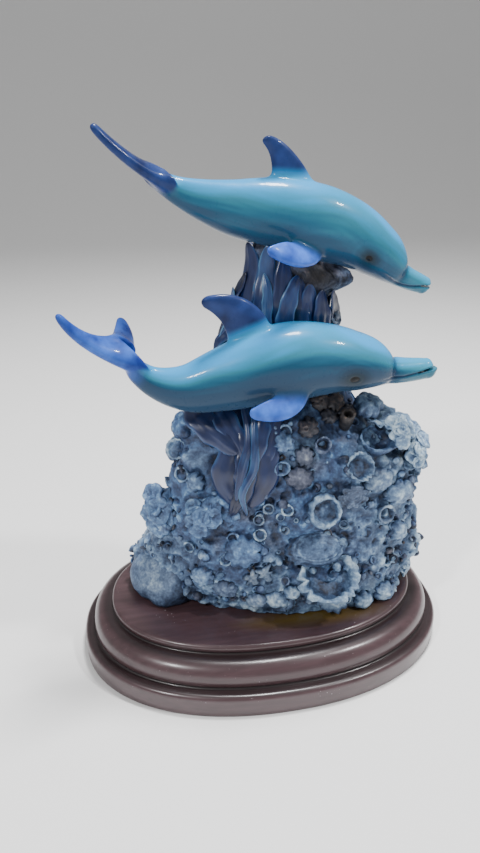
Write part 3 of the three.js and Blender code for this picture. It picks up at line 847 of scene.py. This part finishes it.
def makeRock(material):
    # rings of rockAt, moved out along the normal by lumps, creases and stamped polyps
    k = rock
    turn = np.linspace(0, 2 * np.pi, k["around"], endpoint=False)
    a = turn - k["crowded"] * np.cos(turn)
    h = smoothRead([(0, 0), (0.78, 0.62), (1, 1)], np.linspace(0, 1, k["rows"]))[:, 0]
    rings = rockAt(a[None, :] + 0 * h[:, None], h[:, None] + 0 * a[None, :])
    item = newObject("reef_rock", skinOf(rings))
    points, normals = readPoints(item.data), readNormals(item.data)
    broad = layeredNoise(points, k["lumpSize"], 2)
    crack = 1 - 2 * np.abs(layeredNoise(points, k["crackSize"], 3, 11.0))
    grit = layeredNoise(points, k["gritSize"], 3, 23.0)
    stamp = stampMoves(points, k["stamps"], *k["stampSize"])
    busy = smoothStep(-0.3, 0.3, softNoise(points, 22.0, 31.0))
    move = (k["lump"] * broad + k["crack"] * (crack - 0.3) + k["grit"] * grit
            + stamp * (0.5 + 0.8 * busy) - 0.6)
    points += normals * move[:, None]
    points[:, 2] = np.maximum(points[:, 2], reefBase + 0.05)
    writePoints(item.data, points)
    # dry-brush paint: paler on what stands out, darker in the hollows, the dark of the hollows
    # partly painted shade
    lift = 0.42 + 0.3 * grit + 0.13 * stamp + 0.2 * (crack - 0.4) + 0.1 * broad
    # painted shade: the top of the column, under the upper dolphin, darker
    lift -= 0.12 * smoothStep(150, 165, points[:, 2])
    x, y, z = points.T
    pale = np.max([
        0.7 * smoothStep(0.2, 0.8, softNoise(points, 17.0, 41.0)),
        0.6 * np.exp(-((x + 52) / 16) ** 2) * (z < 62),  # the foot's left end
        0.8 * smoothStep(48, 36, z) * smoothStep(-10, -25, y),  # low at the front
        0.55 * smoothStep(25, 50, x) * smoothStep(125, 110, z) * (y < 15),  # the right side
    ], axis=0)
    brown = 0.8 * smoothStep(0.2, 0.75, layeredNoise(points, 12.0, 2, 47.0))
    across, down, depth = toPixels(points)
    across, down = across - k["mottled"][0], down - k["mottled"][1]
    mottled = np.exp(-((across / 26) ** 2 + (down / 20) ** 2)) * (y < 10)
    paintValues(item.data, lift=np.clip(lift, 0, 1), pale=pale,
                brown=np.clip(0.8 * brown + mottled, 0, 1))
    finishPiece(item, material, "reef_resin", "reef")
    return points, readNormals(item.data)


def reefMaterial():
    # cast resin, navy in the hollows as a wash and as painted shade, and dry-brushed with pale blue
    # on what stands out: no gloss
    material, tree = newMaterial("dry-brushed matt resin", {})
    place = addNode(tree, "TexCoord", out="Object")
    # grit 1.1 mm apart
    grit = addNode(tree, "TexNoise", {"Scale": 900.0, "Detail": 4.0}, {"Vector": place})
    stir = addNode(tree, "Math", {"operation": "MULTIPLY_ADD", 1: 0.5, 2: -0.25}, {0: grit})
    level = addNode(tree, "Math", {"operation": "ADD", "use_clamp": True},
                    {0: readAttribute(tree, "lift"), 1: stir})
    # from hollow to height: the blue all over, the pale patches and the brown ones
    blue, light, earth = (addNode(tree, "ValToRGB", {"stops": stops}, {"Fac": level}) for stops in (
        [(0.1, "#10172a"), (0.3, "#21304f"), (0.48, "#384d72"), (0.68, "#4f729e"),
         (0.9, "#8fb3d2")],
        [(0.1, "#1c273e"), (0.33, "#455c7c"), (0.56, "#7893af"), (0.8, "#c4d8e2"),
         (1.0, "#e6f1f2")],
        [(0.12, "#121319"), (0.4, "#373333"), (0.65, "#6e5a48"), (0.95, "#ab9a86")],
    ))
    paint = blue
    for name, colour in (("pale", light), ("brown", earth)):
        paint = addNode(tree, "Mix", {"data_type": "RGBA"},
                        {"Factor": readAttribute(tree, name), "A": paint, "B": colour})
    rough = addNode(tree, "MapRange", {"To Min": 0.42, "To Max": 0.7}, {"Value": grit})
    bump = addNode(tree, "Bump", {"Strength": 0.5, "Distance": 0.4 * mm}, {"Height": grit})
    feedShader(tree, {"Base Color": paint, "Roughness": rough, "Normal": bump})
    return material


resin = reefMaterial()
rockPoints, rockNormals = makeRock(resin)
rockX, rockY, rockDepth = toPixels(rockPoints)
toCamera = np.array(camera["place"]) - rockPoints
rockFacing = (rockNormals * unit(toCamera)).sum(1) > 0.05


def onReef(x, y):
    # the rock's point that the camera sees at this pixel of the photo, and its outward direction
    gap = np.hypot(rockX - x, rockY - y)
    score = np.where(rockFacing, rockDepth + 6 * np.maximum(gap - 1.5, 0), 1e6)
    at = score.argmin()
    near = np.linalg.norm(rockPoints - rockPoints[at], axis=1) < 5
    return rockPoints[at], unit(rockNormals[near].mean(0))


# Corals: each form is a profile of radius and height, shares of its size, turned about its own axis

coralForms = {
    "knob": {"rows": [(0.7, -0.6), (1, 0), (0.88, 0.55), (0.5, 0.88), (0.06, 1)], "waves": 3,
             "wave": 0.06},
    "bloom": {"rows": [(0.6, -0.6), (1, 0), (0.95, 0.5), (0.55, 0.85), (0.06, 0.9)], "waves": 8,
              "wave": 0.16, "petals": True},
    "cup": {"rows": [(0.6, -0.7), (0.82, 0), (1, 0.5), (0.94, 0.66), (0.76, 0.5), (0.6, 0.1),
                     (0.32, -0.12), (0.06, -0.15)], "waves": 14, "wave": 0.04},
    "ring": {"rows": [(0.85, -0.6), (1.04, 0), (1, 0.34), (0.86, 0.46), (0.72, 0.34), (0.66, 0.1),
                      (0.4, 0.02), (0.06, 0.06)], "waves": 26, "wave": 0.035},
    "lobe": {"rows": [(0.5, -0.8), (0.88, -0.1), (1.02, 0.24), (0.9, 0.4), (0.6, 0.34), (0.3, 0.27),
                      (0.05, 0.26)], "waves": 5, "wave": 0.13, "petals": True, "frill": 0.03},
    "hump": {"rows": [(1, -0.6), (1.02, -0.05), (0.86, 0.28), (0.5, 0.46), (0.05, 0.52)],
             "waves": 4, "wave": 0.05},
    "plate": {"rows": [(0.25, -0.7), (0.5, -0.1), (0.9, 0.06), (1.05, 0.14), (1, 0.24), (0.6, 0.22),
                       (0.3, 0.2), (0.06, 0.2)], "waves": 9, "wave": 0.16, "petals": True,
              "frill": 0.05, "bands": 5},
    "star": {"rows": [(0.75, -0.4), (1, 0), (0.85, 0.22), (0.45, 0.36), (0.06, 0.4)], "waves": 5,
             "wave": 0.36},
    "mound": {"rows": [(0.9, -0.5), (1, 0.05), (0.9, 0.42), (0.6, 0.68), (0.25, 0.8), (0.05, 0.82)],
              "waves": 20, "wave": 0.05, "bands": 6},
    "shell": {"rows": [(0.9, -0.3), (1.05, 0.02), (0.96, 0.14), (0.7, 0.36), (0.35, 0.48),
                       (0.05, 0.5)], "waves": 13, "wave": 0.08},
    "bowl": {"rows": [(0.5, -0.7), (0.8, 0), (1.02, 0.4), (1, 0.56), (0.88, 0.44), (0.7, 0.1),
                      (0.4, -0.06), (0.05, -0.08)], "waves": 16, "wave": 0.1, "petals": True,
             "frill": 0.04},
    "crown": {"rows": [(0.6, -0.6), (0.85, 0), (0.9, 0.6), (0.75, 0.75), (0.6, 0.4), (0.3, 0.3),
                       (0.05, 0.3)], "waves": 9, "wave": 0.16, "frill": 0.12},
    "finger": {"rows": [(0.6, -1.2), (0.7, 0), (0.66, 1.2), (0.5, 2), (0.26, 2.3), (0.05, 2.35)]},
    "tube": {"rows": [(0.6, -1.2), (0.72, 0), (0.78, 1.1), (0.72, 1.35), (0.5, 1.2), (0.4, 0.4),
                      (0.06, 0.2)]},
}


def turnedCoral(form, at, out, size, around, steps, stretch):
    # centre + side r cos a + top r sin a + out h; r swells towards the rim by wave cos(n a), or for
    # petals by |cos(n a / 2)|, and h by frill cos(2 n a) and by bands of cos(2 pi m r)
    shape = {"waves": 0, "wave": 0.0, "petals": False, "frill": 0.0, "bands": 0, **coralForms[form]}
    rows = np.array(shape["rows"])
    path = followCurve(np.column_stack([rows, np.zeros(len(rows))]), steps)[:, :2]
    a = np.linspace(0, 2 * np.pi, around, endpoint=False)
    out = unit(np.asarray(out, float))
    side = unit(np.cross((0.02, 0.01, 1), out))
    top = np.cross(out, side)
    start = rng.uniform(0, 6.28)
    turn = shape["waves"] * a[None, :] + 1.3 * np.sin(2 * a + start) + start
    petal = np.abs(np.cos(turn / 2)) ** 0.6 * 2 - 1.5 if shape["petals"] else np.cos(turn)
    petal = petal * (1 + 0.5 * np.sin(3 * a + 2 * start))
    edge = np.clip(path[:, :1], 0, 1) ** 2
    above = path[:, 1:] > -0.05
    radius = size * np.maximum(path[:, :1], 0.03) * (1 + shape["wave"] * petal * edge)
    height = path[:, 1:] + shape["frill"] * np.cos(2 * turn) * edge * above
    if shape["bands"]:
        height = height + 0.05 * np.cos(2 * np.pi * shape["bands"] * path[:, :1]) * above
    share = np.clip(path[:, 1] / max(path[:, 1].max(), 0.1), 0, 1)
    if shape["bands"]:
        share = share * 0.75 + 0.25 * np.cos(2 * np.pi * shape["bands"] * path[:, 0])
    skin = skinOf(np.asarray(at) + side * (stretch * radius * np.cos(a))[..., None]
                  + top * (radius * np.sin(a))[..., None] + out * (size * height)[..., None])
    return skin, np.r_[np.repeat(share, around), 0, share[-1]]


def makeCorals(name, corals, material):
    # each coral is its form, place, outward direction, size, pale, brown, stretch and fineness; the
    # joined skins move out along their normals by lumps, grain and stamped polyps
    k = coralMake
    skins, shares, marks = [], [], []
    for form, at, out, size, pale, brown, stretch, around, steps in corals:
        skin, share = turnedCoral(form, at, out, size, around, steps, stretch)
        skins.append(skin)
        shares.append(share)
        marks.append(np.tile((size, pale, brown), (len(share), 1)))
    item = newObject(name, joinSkins(skins))
    size, pale, brown = np.vstack(marks).T
    points, normals = readPoints(item.data), readNormals(item.data)
    lump = layeredNoise(points / size[:, None], 0.8, 2, 61.0)
    grain = layeredNoise(points, k["grainSize"], 2, 67.0)
    move = k["lump"] * size * lump + k["grain"] * grain
    stamp = stampMoves(points, k["stamps"], *k["stampSize"]) * smoothStep(3, 5, size)
    points += normals * (move + 0.5 * stamp)[:, None]
    points[:, 2] = np.maximum(points[:, 2], reefBase + 0.05)
    writePoints(item.data, points)
    # paler to the rims as dry-brush, darker to the bases, partly painted shade where the corals
    # meet the rock
    lift = 0.2 + 0.45 * np.concatenate(shares) + 0.3 * grain + 0.2 * stamp
    lift *= 1 - 0.35 * brown
    paintValues(item.data, lift=np.clip(lift, 0, 1), pale=pale, brown=brown)
    finishPiece(item, material, "reef_resin", "reef")


# form, place as shares of the reef or as a pixel of the photo, size in millimetres and pale; then,
# where they aren't the usual ones, brown, stretch and the way it faces
usualCoral = [0, 1, None]  # no brown, round, and facing as the rock does
setCorals = [
    ("cluster", (-0.365, -0.06, 0.29), 11.5, 0.12, 0, 1, (-0.45, -1, 0.4)),
    ("cluster", (-0.24, -0.33, 0.32), 8.5, 0.1, 0, 1, (-0.2, -1, 0.5)),
    ("bloom", (-0.285, 0, 0.46), 6.0, 0.35),
    ("cup", (-0.29, -0.04, 0.47), 5.0, 0.8, 0, 1, (-0.6, -1, 0.3)),
    ("bloom", (-0.265, -0.02, 0.53), 6.0, 0.0),
    ("hump", (-0.38, -0.02, 0.06), 14.0, 0.45, 0.15, 1.3, (-1, -0.8, 1)),
    ("bloom", (-0.1, -0.34, 0.2), 7.0, 0.1, 0, 1.2),
    ("mound", (0.14, -0.39, 0.2), 8.5, 0.35, 0, 1.7, (0.1, -1, 0.6)),
    ("cluster", (0.51, -0.18, 0.21), 5.0, 0.85, 0, 1, (0.8, -1, 0.5)),
    ("cluster", (0.53, -0.16, 0.13), 5.5, 0.9, 0, 1, (0.8, -1, 0.5)),
    ("cluster", (0.525, -0.2, 0.05), 5.5, 0.9, 0, 1, (0.8, -1, 0.5)),
    ("crown", (0.4, -0.29, 0.12), 6.5, 0.8, 0, 1, (0.1, -1, 0.7)),
    ("bloom", (0.33, -0.16, 0.57), 6.4, 0.6, 0, 1, (0.2, -0.5, 1)),
    ("cluster", (0.43, -0.3, 0.52), 7.0, 0.9, 0, 1, (0.2, -1, 0.8)),
    ("cluster", (0.5, -0.27, 0.45), 7.0, 0.95, 0, 1, (0.4, -1, 0.6)),
    ("plate", (0.385, -0.18, 0.535), 7.5, 0.85, 0, 1.2, (0.2, -0.4, 1)),
    ("plate", (0.45, -0.16, 0.5), 8.0, 0.9, 0, 1.2, (0.3, -0.45, 1)),
    ("plate", (0.51, -0.1, 0.455), 8.5, 0.9, 0, 1.1, (0.4, -0.5, 1)),
    ("plate", (0.5, -0.14, 0.41), 8.5, 0.7, 0, 1.2, (0.4, -0.7, 0.8)),
    ("plate", (0.48, -0.16, 0.36), 7.5, 0.5, 0, 1.2, (0.4, -0.9, 0.6)),
    ("cluster", (0.225, 0, 0.8), 6.0, 0.9, 0.4, 1, (0.6, -1, 0.4)),
    ("shell", (0.02, -0.43, 0.05), 6.0, 0.4, 0.1),
    ("shell", (0.2, -0.47, 0.05), 7.5, 0.9, 0.1, 1.1, (0.1, -1, 0.7)),
    ("bloom", (-0.2, -0.24, 0.1), 8.0, 0.4, 0, 1.2),
    ("ring", (0.155, -0.45, 0.33), 7.4, 0.75, 0, 1, (0.05, -1, 0.35)),
    ("bowl", (0.27, -0.4, 0.44), 6.2, 0.7, 0, 1, (0.1, -1, 0.6)),
    ("cup", (0.36, -0.22, 0.47), 7.8, 0.15, 0, 1.2, (0.1, -0.6, 1)),
    ("bowl", (0.17, -0.48, 0.11), 11.5, 0.75, 0, 1.2, (0.1, -0.75, 1)),
    ("tube", (0.245, -0.25, 0.55), 4.0, 0, 1, 1, (0, -0.6, 1)), ("cup", (268, 507), 2.6, 0.9, 0.2),
    ("cup", (258, 519), 2.6, 0.8, 0.2), ("cup", (259, 535), 3.0, 1, 0.1),
    ("cup", (190, 547), 2.8, 0.7), ("cup", (211, 521), 2.6, 0.8), ("cup", (287, 510), 2.8, 0.8),
    ("star", (251, 577), 3.4, 1, 0.4), ("star", (266, 572), 3.4, 1, 0.3),
    ("ring", (233, 537), 2.8, 0.2), ("mound", (326, 544), 2.6, 1), ("mound", (342, 542), 2.8, 1),
    ("mound", (326, 534), 2.2, 1), ("knob", (313, 571), 2.0, 0.6), ("knob", (337, 566), 2.2, 0.6),
    ("bloom", (340, 312), 3.4, 0.8, 0.5), ("bloom", (348, 318), 3.0, 0.8, 0.4),
    ("bloom", (334, 402), 4.6, 0.2, 0.9), ("bloom", (320, 402), 4.2, 0.1, 0.9),
    ("bloom", (346, 412), 3.6, 0.6, 0.8, 1.4), ("bloom", (330, 416), 3.2, 0.5, 0.8, 1.4),
    ("ring", (182, 474), 3.8, 0.4), ("bloom", (196, 482), 4.4, 0.3),
    ("bloom", (168, 522), 4.6, 0.4), ("bloom", (376, 480), 5.6, 0.5, 0.1, 1.3),
    ("bloom", (396, 492), 5.8, 0.6, 0, 1.3), ("cup", (384, 512), 4.4, 0.5, 0.2),
    ("bloom", (396, 530), 4.8, 0.6), ("plate", (352, 495), 5.6, 0.3, 0.2, 1.3),
    ("bloom", (300, 478), 5.0, 0.1, 0.5, 1.2), ("cup", (282, 468), 3.6, 0.2),
    ("bloom", (284, 442), 4.4, 0.2), ("ring", (285, 430), 3.0, 0.4),
    ("bloom", (304, 455), 4.4, 0.3, 0.5), ("bloom", (308, 428), 4.6, 0.2, 0.8),
    ("cup", (322, 446), 3.8, 0.1, 0.3), ("bloom", (225, 588), 4.4, 0.3, 0.2, 1.3),
    ("bloom", (203, 576), 4.6, 0.3, 0, 1.2), ("cup", (226, 560), 2.8, 0.4),
    ("bloom", (384, 590), 5.0, 0.6, 0, 1.1), ("bloom", (362, 598), 4.4, 0.6, 0, 1.1),
    ("bloom", (276, 600), 4.0, 0.8, 0.1, 1.4), ("bloom", (256, 600), 3.6, 0.7, 0.2, 1.3),
    ("bloom", (292, 592), 3.6, 0.8, 0, 1.1),
]
coralMake = {
    "around": 40,
    "steps": 24,
    "lobes": 9,
    "lobeTurn": 2.4,  # radians from one lobe of a cluster to the next
    "lobeAround": 28,
    "lobeSteps": 18,
    "lump": 0.15,  # share of the coral's size
    "grain": 0.32,
    "grainSize": 2.0,
    "stamps": 500,
    "stampSize": (0.7, 1.7),
}
smallCorals = {
    "count": 400,
    "forms": ["knob", "cup", "ring", "bloom", "finger", "tube", "cup", "knob"],
    "least": 1.0,
    "most": 2.6,
    "lean": 0.25,
    "around": 12,
    "steps": 7,
}


def placeCorals():
    # one coral for each entry of the list, or lobes on a sunflower spiral for a cluster
    placed = []
    k = coralMake
    for form, place, size, pale, *rest in setCorals:
        brown, stretch, facing = rest + usualCoral[len(rest):]
        if len(place) == 2:
            at, out = onReef(*place)
        else:
            at = reefPoint(*place)
            near = np.linalg.norm(rockPoints - at, axis=1).argsort()[:60]
            out = unit(rockNormals[near].mean(0) + (0, 0, 0.15))
        out = out if facing is None else unit(np.array(facing, float))
        if form == "cluster":
            side = unit(np.cross((0.02, 0.01, 1), out))
            top = np.cross(out, side)
            for n in range(k["lobes"]):
                turn, reach = n * k["lobeTurn"] + 0.4, size * 0.72 * np.sqrt(n / (k["lobes"] - 1))
                away = side * np.cos(turn) + top * np.sin(turn)
                lean = unit(out + away * 0.9 * reach / size + rng.normal(0, 0.12, 3))
                spot = at + away * reach - out * 0.35 * reach
                placed.append(("lobe", spot, lean, size * rng.uniform(0.4, 0.54), pale, brown, 1,
                               k["lobeAround"], k["lobeSteps"]))
        else:
            placed.append((form, at, out, size, pale, brown, stretch, k["around"], k["steps"]))
    return placed


def scatterCorals():
    # small ones at random on the rock's sides, front and back alike
    k = smallCorals
    spots = np.flatnonzero((rockPoints[:, 2] < 125) & (rockPoints[:, 2] > reefBase + 1.5))
    placed = []
    for pick in rng.choice(spots, k["count"]):
        form = k["forms"][rng.integers(len(k["forms"]))]
        size = rng.uniform(k["least"], k["most"]) * (0.62 if form in ("finger", "tube") else 1)
        lean = unit(rockNormals[pick] + rng.normal(0, k["lean"], 3))
        pale, brown = 0.7 * rng.uniform(0, 1) ** 2, rng.uniform(0, 1) ** 4
        placed.append((form, rockPoints[pick], lean, size, pale, brown, 1.0,
                       k["around"], k["steps"]))
    return placed


makeCorals("reef_corals", placeCorals(), resin)
makeCorals("reef_small_corals", scatterCorals(), resin)

# Kelp: fluted ribbons up the column and over the front of the rock

kelp = {
    "hidden": (0.5, 2.75),  # radians from which to which the photo doesn't show the column
    "leaves": 14,
    "flareTo": (-0.8, -0.3, 0.5),
    "wide": 5.2,
    "thick": 1.5,
    "flute": 0.34,
    "rows": 60,
    "across": 9,
}
# pixels of the photo that a ribbon passes through, root first, its half width in millimetres,
# its tone from 0 for navy to 1 for teal, how far its tip bends out, and how high it lies
seenRibbons = [
    ([(194, 400), (202, 418), (219, 437), (240, 453)], 5.6, 0.4, 0, 3.4),
    ([(212, 398), (222, 418), (234, 438), (245, 458)], 4.6, 0.55, 0, 3.0),
    ([(230, 400), (238, 420), (243, 440), (244, 462)], 4.0, 0.35, 0, 2.6),
    ([(282, 400), (273, 425), (266, 450), (262, 475)], 4.0, 0.3, 0, 1.6),
    ([(264, 398), (262, 420), (258, 440), (254, 465)], 4.0, 0.5, 0, 2.4),
    ([(262, 425), (265, 452), (263, 478), (250, 506)], 5.6, 0.25, 0, 2.0),
    ([(244, 436), (229, 464), (226, 484), (239, 508)], 5.2, 0.35, 0, 2.0),
    ([(246, 440), (247, 465), (244, 488), (240, 506)], 4.4, 0.3, 0, 2.2),
    ([(244, 478), (238, 498), (232, 516)], 2.8, 0.0, 0, 1.4),
    ([(246, 405), (248, 440), (243, 466), (236, 498)], 2.0, 0.6, 0, 4.0),
    ([(255, 405), (255, 440), (253, 466), (243, 492), (247, 512)], 1.7, 0.9, 0, 4.2),
    ([(244, 352), (246, 318), (250, 288), (252, 262), (251, 244)], 4.4, 0.35, 1.5, 1.4),
    ([(234, 345), (229, 315), (230, 298), (232, 286)], 2.2, 0.8, 3.5, 1.4),
    ([(232, 322), (237, 300), (244, 287), (250, 274)], 3.2, 0.05, 1.5, 1.8),
    ([(256, 352), (259, 328), (262, 300), (266, 275), (268, 246)], 4.2, 0.7, 0, 1.8),
    ([(264, 345), (266, 315), (267, 295), (266, 274)], 2.2, 1.0, 0, 3.2),
    ([(281, 346), (281, 305), (283, 280), (284, 250)], 3.8, 0.3, 0, 1.4),
    ([(280, 344), (284, 314), (290, 296), (296, 276)], 3.4, 0.6, 0, 2.4),
    ([(298, 346), (298, 306), (300, 278)], 4.2, 0.3, 0, 1.4),
    ([(308, 346), (308, 312), (310, 284)], 4.2, 0.4, 0, 2.0),
    ([(319, 346), (319, 315), (321, 288)], 4.2, 0.25, 0, 1.4),
    ([(329, 346), (329, 315), (331, 290)], 3.8, 0.15, 0, 1.8),
    ([(240, 316), (231, 331), (221, 344), (210, 355)], 2.6, 0.65, 1, 1.6),
    ([(240, 330), (235, 344), (228, 356)], 2.4, 0.1, 0, 1.4),
]


def leafRings(path, wide, facing, twist):
    # across u from -1 to 1 and back: side w u, and normal (t (1-u^2) + flute cos(5 pi u / 2))
    k = kelp
    centre = followCurve(path, k["rows"])
    tangent = unit(np.gradient(centre, axis=0))
    side = unit(np.cross(tangent, facing))
    normal = np.cross(side, tangent)
    s = np.linspace(0, 1, k["rows"])
    angle = (twist * np.sin(s * 5))[:, None]
    side, normal = (side * np.cos(angle) + normal * np.sin(angle),
                    normal * np.cos(angle) - side * np.sin(angle))
    half = wide * (0.8 + 0.3 * np.sin(np.pi * s)) * np.sqrt(1.02 - s ** 7)
    half = half * (1 + 0.06 * np.sin(s * 23 + wide * 9))
    u = np.linspace(-1, 1, k["across"])
    flutes = k["flute"] * np.cos(2.5 * np.pi * u) * (1 - u ** 4)
    front = k["thick"] * (1 - u ** 2) * 0.7 + flutes + 0.12
    back = -k["thick"] * (1 - u ** 2) * 0.5 - 0.12
    across = np.r_[u, u[::-1]]
    deep = np.r_[back, front[::-1]]
    curl = 0.5 * across ** 2 * np.sin(s * 7 + wide)[:, None] * wide * 0.35
    fade = (half / wide)[:, None]
    return (centre[:, None] + side[:, None] * (half[:, None] * across)[..., None]
            + normal[:, None] * ((deep + curl) * fade)[..., None])


def makeKelp(material):
    # leaves along the photo's ribbons, then leaves up the hidden side of the column, whose paths
    # are rockAt with a swaying angle
    skins, tones = [], []
    for pixels, wide, shade, flare, lie in seenRibbons:
        spots = [onReef(x, y) for x, y in pixels]
        path = np.array([at + out * (lie + rng.uniform(-0.3, 0.3)) for at, out in spots])
        path[-1] += np.array(kelp["flareTo"]) * flare
        facing = unit(np.mean([out for at, out in spots], axis=0))
        skins.append(skinOf(leafRings(path, wide, facing, 0.12)))
        tones.append(shade)
    for a in np.linspace(*kelp["hidden"], kelp["leaves"]):
        low, high = rng.uniform(0.5, 0.6), rng.uniform(0.88, 0.98)
        h = np.array([low, (low * 2 + high) / 3, (low + high * 2) / 3, high])
        sway = a + np.cumsum(rng.uniform(-0.12, 0.12, 4))
        path = rockAt(sway, h)
        ring = np.linspace(0, 6.28, 24)[None]
        middle = rockAt(ring + 0 * h[:, None], h[:, None] + 0 * ring).mean(1)
        outward = unit((path - middle) * (1, 1, 0))
        path = path + outward * rng.uniform(0.4, 1.8, 4)[:, None]
        wide = kelp["wide"] * rng.uniform(0.8, 1.2)
        skins.append(skinOf(leafRings(path, wide, outward.mean(0), 0.25)))
        tones.append(rng.uniform(0, 0.9))
    item = newObject("reef_kelp", joinSkins(skins))
    points, normals = readPoints(item.data), readNormals(item.data)
    grain = layeredNoise(points * (1, 1, 0.35), 2.6, 2, 71.0)
    points += normals * (0.1 * grain)[:, None]
    writePoints(item.data, points)
    u = np.abs(np.linspace(-1, 1, kelp["across"]))
    edge = np.tile(np.r_[np.tile(np.r_[u, u], kelp["rows"]), 0, 0], len(skins))
    paintValues(item.data, edge=edge, tone=np.repeat(tones, len(points) // len(skins)),
                lift=np.clip(0.5 + 0.45 * grain, 0, 1))
    finishPiece(item, material, "reef_resin", "reef")


def kelpMaterial():
    # the same resin sprayed navy and violet, with teal brushed on the rims: satin, not matt
    material, tree = newMaterial("satin navy resin", {"Coat Weight": 0.25, "Coat Roughness": 0.2})
    lift = readAttribute(tree, "lift")
    tone = addNode(tree, "Math", {"operation": "MULTIPLY_ADD", 1: 0.4, 2: 0.05},
                   {0: readAttribute(tree, "tone")})
    rim = addNode(tree, "MapRange", {"From Min": 0.72, "From Max": 1.0, "To Max": 0.24},
                  {"Value": readAttribute(tree, "edge")})
    base = addNode(tree, "Math", {"operation": "ADD"}, {0: rim, 1: tone})
    level = addNode(tree, "Math", {"operation": "MULTIPLY_ADD", 1: 0.4, "use_clamp": True},
                    {0: lift, 2: base})
    paint = addNode(tree, "ValToRGB", {"stops": [
        (0.15, "#0a1023"), (0.35, "#142147"), (0.5, "#1d2d57"), (0.66, "#30507f"),
        (0.85, "#5a8cb0"),
    ]}, {"Fac": level})
    rough = addNode(tree, "MapRange", {"To Min": 0.25, "To Max": 0.45}, {"Value": lift})
    feedShader(tree, {"Base Color": paint, "Roughness": rough})
    return material


makeKelp(kelpMaterial())

# Floor, light and the closing lines

studio = {
    "paper": (0.86, 0.86, 0.86, 1),
    "world": 0.4,
    # place, aim, size in metres and power
    "overhead": ((0.12, 0.1, 0.95), (0, 0, 0.12), 0.17, 13),
    "side": ((0.5, -0.25, 0.8), (0, 0, 0.12), 0.07, 4.5),
    "fill": ((-0.55, -0.5, 0.75), (0, 0, 0.1), 0.09, 4.5),
}


def addFloor():
    # a plain pale sheet that runs under the plinth and sweeps up behind it in a quarter circle
    a = np.linspace(0, np.pi / 2, 24)
    bend = np.stack([1.5 + 1.5 * np.sin(a), 1.5 - 1.5 * np.cos(a)], 1)
    profile = np.r_[[[-4, 0]], bend, [[3, 5]]]
    x = np.array([-5.0, 5.0])
    points = np.c_[np.tile(x, len(profile)), np.repeat(profile, 2, axis=0)]
    i = np.arange(len(profile) - 1) * 2
    mesh = bpy.data.meshes.new("floor")
    mesh.from_pydata(points.tolist(), [], np.stack([i, i + 1, i + 3, i + 2], 1).tolist())
    mesh.polygons.foreach_set("use_smooth", np.ones(len(i), bool))
    item = bpy.data.objects.new("floor", mesh)
    bpy.context.collection.objects.link(item)
    # matt white paper: no gloss, and light thrown softly back up at the work
    settings = {"Base Color": studio["paper"], "Roughness": 0.9}
    item.data.materials.append(newMaterial("white paper", settings)[0])


def addLight(name, place, aim, size, power):
    # a round soft lamp that looks at its aim
    data = bpy.data.lights.new(name, "AREA")
    data.shape = "DISK"
    data.size = size
    data.energy = power
    item = bpy.data.objects.new(name, data)
    item.location = place
    item.rotation_euler = (Vector(aim) - Vector(place)).to_track_quat("-Z", "Y").to_euler()
    bpy.context.collection.objects.link(item)


def addWorld():
    # even white light from all round
    world = bpy.data.worlds.new("studio")
    world.use_nodes = True
    back = world.node_tree.nodes["Background"]
    back.inputs["Color"].default_value = (1, 1, 1, 1)
    back.inputs["Strength"].default_value = studio["world"]
    bpy.context.scene.world = world


addFloor()
addWorld()
for lamp in ("overhead", "side", "fill"):
    addLight(lamp, *studio[lamp])
print("studio ready")
